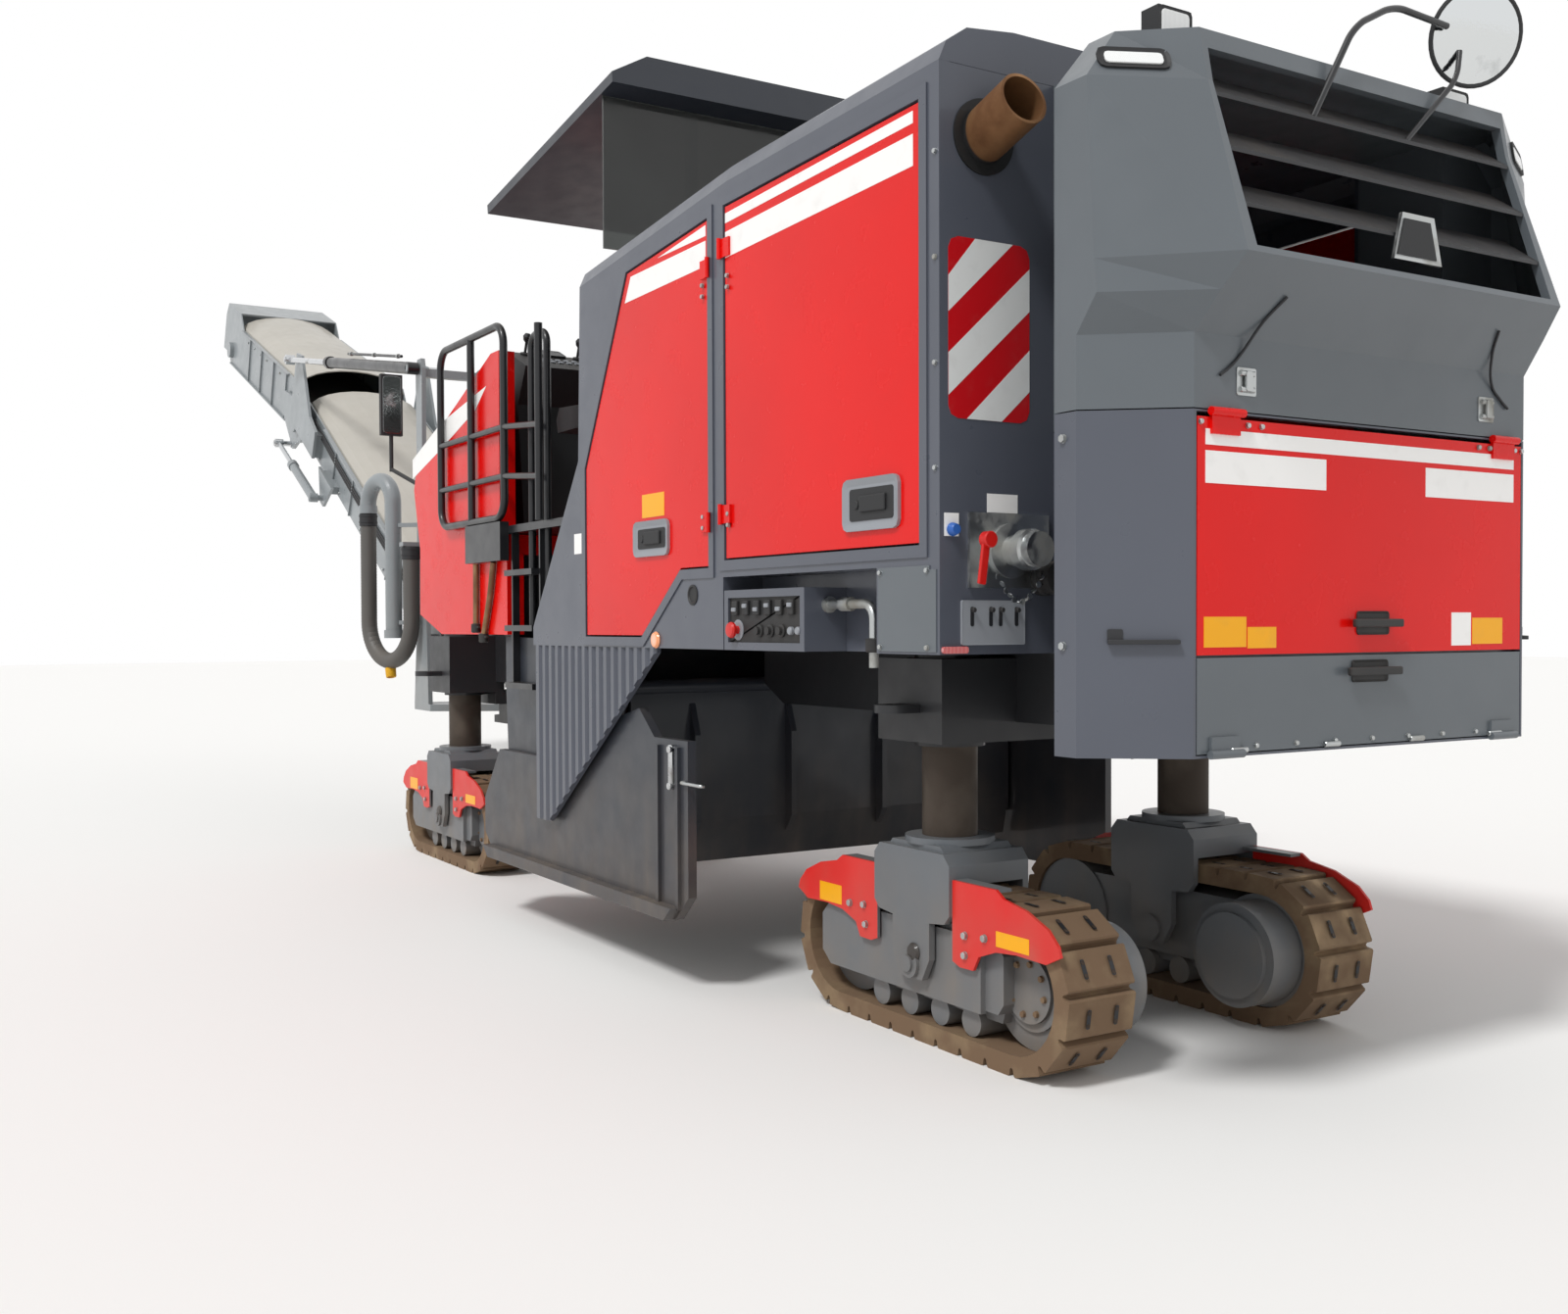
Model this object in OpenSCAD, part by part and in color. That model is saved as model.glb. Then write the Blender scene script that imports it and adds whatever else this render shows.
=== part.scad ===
/* [Overall] */
// Width over the hood sides
body_w = 2500; // [2460:5:2540]
// Height of the lower edge of the hood sides above the ground
skirt_z = 1470; // [1450:2:1490]
// Distance from the rear doors to the centre of the rear tracks
rear_track_x = 1405; // [1385:5:1425]
// Distance from the rear doors to the centre of the front tracks
front_track_x = 6560; // [6540:5:6580]
// Distance from the centreline to the middle of a rear track
rear_track_y = 620; // [610:2:640]
// Distance from the centreline to the middle of a front track
front_track_y = 704; // [694:2:714]

/* [Tracks] */
// Length of a track over its pads
track_len = 1664; // [1640:4:1690]
// Height of a track over its pads
track_h = 590; // [580:2:600]
// Width of a track's pads
track_w = 300; // [280:4:310]
// Depth from the outside of the pads to the inside of the chain
track_t = 75; // [68:1:82]
// Number of pads on a track
track_shoes = 26; // [22:1:30]
// Thickness of a pad
pad_h = 26; // [20:1:30]
// Running gap between the chain and the wheels in it
chain_gap = 1.5; // [1.2:0.1:2]
// Diameter of the rollers on the lower run
roller_d = 110; // [100:2:116]
// Gap between the upper run of a track and the fork over it
fork_gap = 26; // [20:1:32]

/* [Lifting columns] */
// Diameter of a lifting column
column_d = 210; // [200:2:220]
// Height of the flange on top of a fork above the ground
flange_z = 770; // [760:2:780]
// Height of the upper end of a column above the ground
column_top_z = 1620; // [1600:5:1640]
// Running gap round a column
guide_gap = 0.5; // [0.3:0.1:0.9]
// Wall of the tube that guides a column
guide_wall = 28; // [22:1:34]
// Height of the lower end of the guide tubes
guide_z = 1110; // [1100:2:1120]
// Height of the closed upper end of the guide tubes
guide_top_z = 1960; // [1940:5:1990]

/* [Frame] */
// Thickness of the frame's plates
plate_t = 60; // [50:2:70]
// Reach of the frame ahead of the front tracks' centres
front_overhang = 290; // [280:2:300]
// Rear end of the frame
frame_rear_x = 660; // [650:2:680]
// Bore of the lashing eyes
eye_d = 50; // [44:1:56]

/* [Milling drum] */
// Position of the drum's axis ahead of the rear doors
drum_x = 3900; // [3885:5:3915]
// Height of the drum's axis above the ground
drum_z = 930; // [924:2:936]
// Radius over the tips of the cutting picks
pick_r = 490; // [478:2:496]
// Radius of the drum's tube
drum_r = 390; // [380:2:396]
// Distance from the end walls of the housing to the ends of the drum
drum_end_gap = 150; // [140:2:160]
// Number of rows of picks along the drum
pick_rows = 27; // [19:2:31]
// Picks in each row round the drum
picks_round = 4; // [3:1:5]
// Turn of the pick spiral from one row to the next, in degrees
pick_step = 17; // [12:1:22]
// Inside radius of the drum's housing
housing_r = 540; // [528:2:546]
// Thickness of the drum housing's walls
housing_t = 20; // [16:1:24]
// Distance from the hood's sides to the end walls of the housing
housing_inset = 100; // [96:1:110]

/* [Side plates] */
// Thickness of a side plate
side_plate_t = 40; // [34:1:44]
// Height of a side plate's lower edge above the ground
side_plate_z = 310; // [304:2:320]
// Thickness of the ribbed skirt
skirt_t = 30; // [26:1:33]
// Distance between the ribs of the skirt
rib_pitch = 80; // [60:2:100]
// Depth of the ribs of the skirt
rib_depth = 12; // [8:1:14]

/* [Hood] */
// Wall of the hood
hood_t = 40; // [34:1:46]
// Plane of the hood's rear-facing panels
hood_rear_x = 640; // [630:2:650]
// Distance from the drum's axis back to the hood's front wall
hood_front_reach = 500; // [490:2:510]
// Height of the hood's top seam at its rear end
seam_rear_z = 3330; // [3320:2:3340]
// Height of the hood's top seam at its front end
seam_front_z = 3150; // [3140:2:3160]
// Rise of the rounded cap over the seam
cap_rise = 140; // [120:2:160]
// Thickness of the side doors
door_t = 34; // [30:1:38]
// Gap round the side doors
door_gap = 8; // [6:1:10]
// Width of the frames round the side doors
bezel_w = 40; // [30:1:46]
// Height of the frames round the side doors over the hood's sides
bezel_t = 6; // [4:1:8]
// Diameter of the knuckles of the door hinges
knuckle_d = 18; // [16:1:24]

/* [Rear unit] */
// Distance from the hood's sides in to the rear unit's sides
unit_inset = 182; // [176:2:190]
// Distance from the rear doors to the front edge of the rear unit's sides
unit_len = 311; // [300:1:320]
// Width of the rear unit's slanted corners
corner_w = 262; // [250:2:270]
// Depth of the rear unit's slanted corners
corner_len = 215; // [205:1:225]
// Height of the rear unit's lower edge
unit_z = 1167; // [1160:1:1180]
// Height of the seam between the red door and the lower flap
flap_seam_z = 1468; // [1460:2:1476]
// Height of the seam between the upper hood and the red door
unit_seam_z = 2196; // [2186:2:2206]
// Height of the rear hood's top
unit_top_z = 3332; // [3324:2:3340]
// Reach of the lip under the outlet behind the rear doors
lip_reach = 160; // [140:2:180]
// Number of blades in the outlet
blade_count = 3; // [3:1:4]
// Thickness of an outlet blade
blade_t = 12; // [8:1:16]
// Inner diameter of the exhaust pipe
exhaust_d = 150; // [140:2:156]

/* [Fittings] */
// Diameter of the rinsing tap's pipe
tap_d = 34; // [30:1:38]
// Radius of the bend in the rinsing tap
tap_bend = 58; // [50:1:66]

/* [Operator's platform] */
// Height of the platform's floor
floor_z = 2100; // [2090:2:2110]
// Height of the roof's rear edge
roof_z = 4150; // [4130:5:4170]
// Length of the roof
roof_len = 1660; // [1620:10:1700]
// Half width of the roof
roof_y = 1120; // [1105:5:1135]
// Slope of the roof towards the front, in degrees
roof_slope = 8; // [6:0.5:9]
// Diameter of the rail tubes
rail_d = 42; // [36:1:46]
// Radius of the bends in the rail tubes
rail_bend = 110; // [90:2:130]

/* [Front tank] */
// Distance from the hood's sides in to the tank's sides
tank_inset = 55; // [50:1:60]
// Height of the front tank's bottom
tank_z = 1520; // [1512:2:1528]
// Height of the front tank's top at the platform
tank_top_z = 3050; // [3030:5:3070]

/* [Conveyors] */
// Distance from the frame's front face to the conveyor's slewing axis
slew_reach = 450; // [444:2:460]
// Distance from the slewing axis to the lifting axis
lift_reach = 400; // [390:2:410]
// Height of the conveyor's lifting axis
lift_z = 1450; // [1440:2:1456]
// Slope of the lower flight as it stands, in degrees
lower_slope = 29; // [28.5:0.1:29.5]
// Slope of the upper flight as it stands, in degrees
upper_slope = 20.5; // [20:0.1:21]
// Distance from the lifting axis to the folding axis
lower_len = 4350; // [4330:5:4370]
// Distance from the folding axis to the head drum
upper_len = 3350; // [3320:10:3380]
// Half width over a flight's side plates
flight_y = 520; // [514:2:524]
// Thickness of a flight's side plates
flight_t = 12; // [10:1:16]
// Height of the mast that carries the lifting cylinders
mast_z = 3450; // [3440:2:3460]
// Diameter of the lifting cylinders
lift_ram_d = 90; // [84:2:96]
// Diameter of the folding cylinders
fold_ram_d = 80; // [74:2:84]
// Width of the inner conveyor
inner_w = 900; // [880:5:910]
// Height of the inner conveyor's frame at the slewing axis
inner_top_z = 1640; // [1634:2:1650]
// Diameter of the extraction hose
hose_d = 120; // [110:1:120]

/* [Hidden] */

slate = "#4b5057";
dark = "#2b2d30";
red = "#d81f26";
pale = "#9aa0a2";
dust = "#8a7a66";
steel = "#a9abad";

seat_gap = 0.3;
half_w = body_w / 2;
housing_y = half_w - housing_inset;
tank_y = half_w - tank_inset;
unit_y = half_w - unit_inset;
back_y = unit_y - corner_w;
hood_front_x = drum_x - hood_front_reach;
bulkhead_x = drum_x + 740;
frame_front_x = front_track_x + front_overhang;
slew_x = frame_front_x + slew_reach;

// The lower flight's frame: u along it from the lifting axis, v square to it
lift_x = slew_x + lift_reach;
fold_v = -50;
fold_x = lift_x + lower_len * cos(lower_slope) - fold_v * sin(lower_slope);
fold_z = lift_z + lower_len * sin(lower_slope) + fold_v * cos(lower_slope);
head_r = 140;
chute_reach = 460;

// The part's own origin is under the middle of its box
x_max = fold_x + (upper_len + chute_reach) * cos(upper_slope) + 60 * sin(upper_slope);
x_mid = (x_max - lip_reach) / 2;

// Table of the four track units: column's x, column's y, side
X = 0;
Y = 1;
SIDE = 2;
REAR_LEFT = [rear_track_x, rear_track_y, 1];
REAR_RIGHT = [rear_track_x, -rear_track_y, -1];
FRONT_LEFT = [front_track_x, front_track_y, 1];
FRONT_RIGHT = [front_track_x, -front_track_y, -1];
CORNERS = [REAR_LEFT, REAR_RIGHT, FRONT_LEFT, FRONT_RIGHT];

module place() {
    translate([-x_mid, 0, 0]) children();
}

module both_sides() {
    children();
    mirror([0, 1, 0]) children();
}

module block(low, high) {
    translate(low) cube(high - low);
}

// A plate cut to an outline of x and z, from one y to another
module plate_xz(outline, y0, y1) {
    translate([0, y1, 0]) rotate([90, 0, 0]) linear_extrude(y1 - y0) polygon(outline);
}

// A plate cut to an outline of x and y, from one z to another
module plate_xy(outline, z0, z1) {
    translate([0, 0, z0]) linear_extrude(z1 - z0) polygon(outline);
}

// A bar of an outline of y and z, from one x to another
module bar_x(outline, x0, x1) {
    translate([x0, 0, 0]) rotate([90, 0, 90]) linear_extrude(x1 - x0) polygon(outline);
}

module post(x, y, z0, z1, d) {
    translate([x, y, z0]) cylinder(d = d, h = z1 - z0, $fn = 48);
}

// A shaft across the machine
module shaft_y(x, z, y0, y1, d) {
    translate([x, y1, z]) rotate([90, 0, 0]) cylinder(d = d, h = y1 - y0, $fn = 48);
}

// A round bar between two points
module rod(a, b, d) {
    v = b - a;
    len = norm(v);
    translate(a) rotate([0, acos(v.z / len), atan2(v.y, v.x)]) cylinder(d = d, h = len, $fn = 32);
}

// A quarter bend of tube in a plane of x and z, about its centre, from one angle on
module bend_xz(x, y, z, r, from, d) {
    translate([x, y, z]) rotate([90, 0, 0]) rotate([0, 0, from])
        rotate_extrude(angle = 90, $fn = 48) translate([r, 0]) circle(d = d, $fn = 32);
}

// A closed frame of bent tube in a plane of x and z
module tube_frame(x0, x1, y, z0, z1, r, d) {
    for (z = [z0, z1]) rod([x0 + r, y, z], [x1 - r, y, z], d);
    for (x = [x0, x1]) rod([x, y, z0 + r], [x, y, z1 - r], d);
    bend_xz(x1 - r, y, z1 - r, r, 0, d);
    bend_xz(x0 + r, y, z1 - r, r, 90, d);
    bend_xz(x0 + r, y, z0 + r, r, 180, d);
    bend_xz(x1 - r, y, z0 + r, r, 270, d);
}

// A hoop of bent tube, open below
module hoop(x0, x1, y, z0, z1, r, d) {
    rod([x0 + r, y, z1], [x1 - r, y, z1], d);
    for (x = [x0, x1]) rod([x, y, z0], [x, y, z1 - r], d);
    bend_xz(x1 - r, y, z1 - r, r, 0, d);
    bend_xz(x0 + r, y, z1 - r, r, 90, d);
}

// A closed skin through rings of points, each ring with the same number
module loft(rings) {
    n = len(rings[0]);
    last = len(rings) - 1;
    polyhedron([for (r = rings) each r], concat(
        [
            for (k = [0 : last - 1], i = [0 : n - 1])
            each [
                [(k + 1) * n + i, k * n + (i + 1) % n, k * n + i],
                [(k + 1) * n + (i + 1) % n, k * n + (i + 1) % n, (k + 1) * n + i]
            ]
        ],
        [[for (i = [0 : n - 1]) i]],
        [[for (i = [n - 1 : -1 : 0]) last * n + i]]
    ), convexity = 4);
}

// Moves an outline's corners towards its middle by a distance
function shrink(outline, gap) =
    let (n = len(outline))
    [
        for (i = [0 : n - 1])
        let (
            p = outline[i],
            a = outline[(i + n - 1) % n],
            b = outline[(i + 1) % n],
            d1 = (p - a) / norm(p - a),
            d2 = (b - p) / norm(b - p),
            inward = [-d1[1], d1[0]] + [-d2[1], d2[0]]
        )
        p + gap * inward / (1 + d1 * d2)
    ];

// Track units

track_r = track_h / 2;
end_x = track_len / 2 - track_r;
wheel_r = track_r - track_t - chain_gap;
pitch_r = track_r - pad_h - 16;
run = 2 * end_x;
turn = PI * pitch_r;
shoe_pitch = 2 * (run + turn) / track_shoes;

// The point at a length s along the chain, at radius r over its ends
function on_track(s, r) =
    let (
        t = s - floor(s / (2 * (run + turn))) * 2 * (run + turn),
        front_a = (t - run) / pitch_r * 180 / PI,
        rear_a = (t - 2 * run - turn) / pitch_r * 180 / PI
    )
    t < run ? [-end_x + t, track_r - r]
    : t < run + turn ? [end_x + r * sin(front_a), track_r - r * cos(front_a)]
    : t < 2 * run + turn ? [end_x - (t - run - turn), track_r + r]
    : [-end_x - r * sin(rear_a), track_r + r * cos(rear_a)];

// One pad's outline: share of the pitch, depth under its face
SHOE = [[0, pad_h + 6], [0.05, pad_h], [0.08, 5], [0.12, 0], [0.88, 0], [0.92, 5], [0.95, pad_h]];

module track(corner) {
    outer = [
        for (i = [0 : track_shoes - 1], p = SHOE)
        on_track((i + p[0]) * shoe_pitch, track_r - p[1])
    ];
    inner = [
        for (side = [1, -1], k = [0 : 16])
        let (a = -90 + k * 180 / 16)
        [side * (end_x + (track_r - track_t) * cos(a)), track_r + side * (track_r - track_t) * sin(a)]
    ];
    color(dust) place() translate([corner[X], corner[Y] + track_w / 2, 0]) rotate([90, 0, 0])
        linear_extrude(track_w) difference() {
            polygon(outer);
            polygon(inner);
        }
}

fork_z = track_h + fork_gap;
fork_half = 235;
cheek_t = 26;
cheek_gap = 10;
cheek_in = track_w / 2 + cheek_gap;
cheek_out = cheek_in + cheek_t;
guard_t = 12;
pivot_z = 300;
roller_z = track_t + chain_gap + roller_d / 2;

// Guard over one end of the chain, as seen from outside
GUARD = [
    [fork_half, 600], [fork_half, 350], [fork_half + 45, 334], [fork_half + 120, 336], [fork_half + 150, 390],
    [480, 424], [590, 434], [740, 430], [812, 465], [800, 500], [750, 548], [640, 594], [520, fork_z], [480, fork_z + 26],
    [fork_half, fork_z + 26]
];

// Fork, roller frame, wheels, drive and guards of one unit; y is outwards
module truck_body() {
    plate_xz([
        [-fork_half, fork_z], [fork_half, fork_z], [fork_half, flange_z - 80], [fork_half - 35, flange_z - 40],
        [35 - fork_half, flange_z - 40], [-fork_half, flange_z - 80]
    ], -cheek_out, cheek_out);
    plate_xz([[-170, flange_z - 41], [170, flange_z - 41], [150, flange_z - 20], [-150, flange_z - 20]],
        -cheek_in, cheek_in);
    post(0, 0, flange_z - 25, flange_z, column_d + 130);
    // Legs of the fork down to the pivot
    leg = [
        [-fork_half, fork_z + 5], [-fork_half, 510], [-205, 476], [-115, 466], [-115, 330], [-70, 245], [70, 245],
        [115, 330], [115, 466], [205, 476], [fork_half, 510], [fork_half, fork_z + 5]
    ];
    plate_xz(leg, cheek_in, cheek_out);
    plate_xz(leg, -cheek_out, -cheek_in);
    shaft_y(0, pivot_z, -cheek_out - 14, cheek_out + 14, 110);
    shaft_y(0, pivot_z, cheek_out + 10, cheek_out + 24, 62);
    // Roller frame inside the chain, and its outer plate
    plate_xz([[-440, 190], [440, 190], [470, 230], [470, 400], [410, 470], [-410, 470], [-470, 400], [-470, 230]],
        -track_w / 2 + 22, track_w / 2 - 22);
    plate_xz([[-420, 150], [420, 150], [440, 210], [-440, 210]], -track_w / 2 + 60, track_w / 2 - 60);
    plate_xz([[-370, 180], [600, 180], [660, 230], [660, 380], [590, 450], [-370, 450]],
        track_w / 2 - 26, track_w / 2);
    for (x = [-280, -95, 95, 280]) shaft_y(x, roller_z, -track_w / 2 + 30, track_w / 2 - 30, roller_d);
    // Wheels at both ends, the drive's hub outside and its motor cover inside
    for (x = [-end_x, end_x]) shaft_y(x, track_r, -track_w / 2 + 14, track_w / 2 - 100, 2 * wheel_r);
    shaft_y(-end_x, track_r, 0, track_w / 2 - 88, 300);
    shaft_y(-end_x, track_r, 0, track_w / 2 - 72, 240);
    shaft_y(-end_x, track_r, -cheek_out - 110, 0, 400);
    shaft_y(-end_x, track_r, -cheek_out - 130, 0, 330);
    for (side = [-1, 1]) scale_x(side) {
        plate_xz(GUARD, cheek_in, cheek_in + guard_t);
        plate_xz([[fork_half, fork_z + 14], [480, fork_z + 14], [480, fork_z + 26], [fork_half, fork_z + 26]],
            cheek_in - 60, cheek_in + 2);
    }
}

// Turns what lies ahead to behind
module scale_x(side) {
    if (side > 0) children();
    else mirror([1, 0, 0]) children();
}

module truck(corner) {
    color(pale) place() translate([corner[X], corner[Y], 0]) mirror([0, corner[SIDE] > 0 ? 0 : 1, 0])
        truck_body();
}

module column(corner) {
    color(dust) place() post(corner[X], corner[Y], flange_z + seat_gap, column_top_z, column_d);
}

module truck_rear_left() { truck(REAR_LEFT); }
module truck_rear_right() { truck(REAR_RIGHT); }
module truck_front_left() { truck(FRONT_LEFT); }
module truck_front_right() { truck(FRONT_RIGHT); }
module column_rear_left() { column(REAR_LEFT); }
module column_rear_right() { column(REAR_RIGHT); }
module column_front_left() { column(FRONT_LEFT); }
module column_front_right() { column(FRONT_RIGHT); }
module track_rear_left() { track(REAR_LEFT); }
module track_rear_right() { track(REAR_RIGHT); }
module track_front_left() { track(FRONT_LEFT); }
module track_front_right() { track(FRONT_RIGHT); }

// Frame

guide_d = column_d + 2 * guide_gap;
guide_od = guide_d + 2 * guide_wall;
girder_in = 400;
arch_z = drum_z + housing_r + housing_t;
fork_in = inner_w / 2 + 60;
bulkhead_y = half_w - 150;
eye_reach = 265;
beam_top_z = 1130;

module main_frame() {
    beam_x0 = front_track_x - 220;
    color(dark) place() difference() {
        union() {
            // Rear girders, stepped up over the drum and cut away over the scraper
            both_sides() plate_xz([
                [frame_rear_x, 1200], [drum_x - 1020, 1200], [drum_x - 850, 1290], [drum_x - 850, arch_z],
                [bulkhead_x + plate_t, arch_z], [bulkhead_x + plate_t, 1950], [frame_rear_x, 1950]
            ], girder_in, girder_in + plate_t);
            // Front girders, outside the inner conveyor
            both_sides() plate_xz([
                [bulkhead_x, 1200], [frame_front_x, 1200], [frame_front_x, 1500], [bulkhead_x, 1510]
            ], fork_in, fork_in + plate_t);
            block([bulkhead_x, -bulkhead_y, arch_z], [bulkhead_x + plate_t, bulkhead_y, 1950]);
            both_sides() block([bulkhead_x, fork_in, 1200], [bulkhead_x + plate_t, bulkhead_y, arch_z + 1]);
            // Cross heads that carry the guide tubes
            block([rear_track_x - 200, -rear_track_y - 190, 1130], [rear_track_x + 200, rear_track_y + 190, 1440]);
            both_sides() block([beam_x0, fork_in, 1130], [front_track_x + 170, front_track_y + 180, 1500]);
            for (c = CORNERS) {
                post(c[X], c[Y], guide_z, guide_top_z, guide_od);
                // Lashing eye beside the guide tube
                block([c[X] - 70, min(c[Y], c[Y] + c[SIDE] * eye_reach), 1240],
                    [c[X] + 70, max(c[Y], c[Y] + c[SIDE] * eye_reach), 1270]);
                post(c[X], c[Y] + c[SIDE] * eye_reach, 1240, 1270, 140);
            }
            // Cross beam in front, set back from the swinging conveyor, and the shelf under the slewing axis
            block([beam_x0, -fork_in - 1, 1050], [frame_front_x - 90, fork_in + 1, beam_top_z]);
            both_sides() block([beam_x0, fork_in, 1050], [frame_front_x, fork_in + plate_t, 1210]);
            plate_xy([
                [frame_front_x - 350, -390], [frame_front_x, -390], [frame_front_x + 90, -280], [slew_x, -180],
                [slew_x + 120, -110], [slew_x + 120, 110], [slew_x, 180], [frame_front_x + 90, 280],
                [frame_front_x, 390], [frame_front_x - 350, 390]
            ], 900, 950 + seat_gap);
            both_sides() block([frame_front_x - 350, 330, 940], [frame_front_x - 90, 390, 1060]);
            // Uprights and bracket over the inner conveyor for the upper slewing pin
            both_sides() block([frame_front_x - 160, fork_in, 1490], [frame_front_x, fork_in + plate_t, 2110]);
            block([frame_front_x - 160, -fork_in - plate_t, 2050], [frame_front_x, fork_in + plate_t, 2110]);
            plate_xy([
                [frame_front_x - 40, -250], [slew_x + 60, -90], [slew_x + 60, 90], [frame_front_x - 40, 250]
            ], 2050, 2110);
        }
        for (c = CORNERS) {
            post(c[X], c[Y], guide_z - 50, guide_top_z - 30, guide_d);
            post(c[X], c[Y] + c[SIDE] * eye_reach, 1230, 1280, eye_d);
        }
        post(slew_x, 0, 890, 960, 90 + 2 * guide_gap);
        post(slew_x, 0, 2040, 2120, 70 + 2 * guide_gap);
    }
}

module engine_block() {
    color(dark) place() {
        block([1000, -girder_in, 1640], [2850, girder_in, 2700]);
        both_sides() block([1000, girder_in, 1950], [2850, girder_in + plate_t, 2050]);
    }
}

// Drum and its housing

wall_y = housing_y - housing_t;

module drum_housing() {
    color(dark) place() {
        difference() {
            union() {
                shaft_y(drum_x, drum_z, -housing_y, housing_y, 2 * (housing_r + housing_t));
                both_sides() plate_xz([
                    [drum_x - 720, 560], [drum_x + 560, 560], [drum_x + 700, 700], [bulkhead_x, 1200],
                    [bulkhead_x, 1510], [drum_x - 300, arch_z], [drum_x - 720, 1300]
                ], wall_y, housing_y);
            }
            shaft_y(drum_x, drum_z, -wall_y, wall_y, 2 * housing_r);
            // Open below and at the rear for the scraper, and to the inner conveyor
            block([drum_x - 800, -housing_y - 1, 0], [drum_x + 800, housing_y + 1, 560]);
            block([drum_x - 800, -wall_y, 0], [drum_x + 800, wall_y, drum_z - 300]);
            block([drum_x - 800, -wall_y, 0], [drum_x - 300, wall_y, drum_z + 300]);
            block([drum_x, -inner_w / 2 + 20, 0], [drum_x + 800, inner_w / 2 - 20, drum_z + 250]);
        }
        // Bearing of the drum's shaft in each end wall
        both_sides() shaft_y(drum_x, drum_z, wall_y - bearing_len, wall_y, 300);
        // Runners that the side plates slide on
        both_sides() for (x = [drum_x - 600, drum_x + 500])
            block([x, housing_y, 620], [x + 60, plate_y - seat_gap, 860]);
    }
}

bearing_len = 60;
drum_half = housing_y - drum_end_gap;

module milling_drum() {
    color(steel) place() translate([drum_x, 0, drum_z]) {
        rotate([90, 0, 0]) cylinder(r = drum_r, h = 2 * drum_half, center = true, $fn = 48);
        rotate([90, 0, 0]) cylinder(r = 110, h = 2 * (wall_y - bearing_len - seat_gap), center = true, $fn = 32);
        // Pick holders in two spirals that meet in the middle
        for (row = [0 : pick_rows - 1], k = [0 : picks_round - 1])
            let (
                y = -drum_half + 40 + row * (2 * drum_half - 80) / (pick_rows - 1),
                a = k * 360 / picks_round + abs(row - (pick_rows - 1) / 2) * pick_step
            )
            rotate([0, a, 0]) translate([drum_r, y, 0]) pick();
    }
}

// One pick in its holder, leaning into the cut
module pick() {
    hull() {
        translate([-12, -28, -40]) cube([12, 56, 80]);
        translate([38, -20, -14]) cube([12, 40, 40]);
    }
    hull() {
        translate([38, 0, 6]) rotate([0, 40, 0]) cylinder(r = 15, h = 6, $fn = 8);
        translate([pick_r - drum_r - 9, 0, 54]) rotate([0, 40, 0]) cylinder(r = 4, h = 4, $fn = 8);
    }
}

plate_y = housing_y + 8;

module side_plate_body() {
    outline = [
        [2560, side_plate_z], [4700, side_plate_z], [4850, side_plate_z + 120], [4850, 620], [4620, 900],
        [4000, 900], [3500, 1060], [2900, 1200], [2750, 1080], [2440, 1080], [2440, side_plate_z + 110]
    ];
    plate_xz(outline, plate_y, plate_y + side_plate_t);
    // Skid along the lower edge, and ribs up to the skirt
    plate_xz([[2580, side_plate_z], [4690, side_plate_z], [4760, side_plate_z + 60], [2510, side_plate_z + 60]],
        plate_y, half_w - 2);
    for (x = [2505, 2690]) block([x, plate_y + side_plate_t - 1, side_plate_z + 50], [x + 26, half_w - skirt_t - 6, 1050]);
}

module side_plate_left() { color(dark) place() side_plate_body(); }
module side_plate_right() { color(dark) place() mirror([0, 1, 0]) side_plate_body(); }

scraper_x = drum_x - 740;
scraper_z = 1280;

module scraper() {
    color(dark) place() {
        plate_xz([
            [scraper_x - 15, scraper_z - 30], [scraper_x + 15, scraper_z - 30], [scraper_x + 15, 640],
            [scraper_x + 60, 450], [scraper_x + 30, 440], [scraper_x - 15, 640]
        ], 10 - wall_y, wall_y - 10);
        shaft_y(scraper_x, scraper_z, seat_gap - wall_y, wall_y - seat_gap, 70);
        for (y = [-800, -270, 270, 800])
            plate_xz([[scraper_x - 70, 1050], [scraper_x - 15, 1200], [scraper_x - 15, 560], [scraper_x - 70, 640]],
                y - 15, y + 15);
    }
}

// Ribbed skirts between the hood and the side plates

skirt_x0 = 2640;
skirt_x1 = 4000;

module skirt_body() {
    count = floor((skirt_x1 - skirt_x0) / rib_pitch);
    intersection() {
        union() {
            block([skirt_x0, half_w - skirt_t, 500], [skirt_x1, half_w - rib_depth, skirt_z]);
            for (i = [0 : count]) let (x = skirt_x0 + i * rib_pitch)
                plate_xy([
                    [x, half_w - rib_depth - 1], [x + rib_pitch * 0.15, half_w], [x + rib_pitch * 0.55, half_w],
                    [x + rib_pitch * 0.7, half_w - rib_depth - 1]
                ], 500, skirt_z);
        }
        plate_xz([[skirt_x0, skirt_z], [skirt_x0, skirt_z - 20], [3820, 600], [skirt_x1, 600], [skirt_x1, skirt_z]],
            half_w - skirt_t, half_w);
    }
    // Inner leg that joins the skirt to the drum housing
    plate_xz([[3700, 1230], [3900, 1230], [3900, skirt_z], [3700, skirt_z]], housing_y, half_w - skirt_t);
}

module skirts() { color(slate) place() both_sides() skirt_body(); }

// Hood

seam_mid_x = 2000;
seam_mid_z = seam_rear_z - 40;
pillar_x0 = 2015;
pillar_x1 = 2145;
panel_y = half_w - hood_t;
neck_y = half_w - 470;
recess_x0 = 985;
recess_x1 = 2035;
recess_y = half_w - 180;
recess_z = skirt_z + 285;

// Height of the top seam at x
function seam(x) = x < seam_mid_x
    ? seam_rear_z + (seam_mid_z - seam_rear_z) * (x - hood_rear_x) / (seam_mid_x - hood_rear_x)
    : seam_mid_z + (seam_front_z - seam_mid_z) * (x - seam_mid_x) / (hood_front_x - seam_mid_x);

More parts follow.
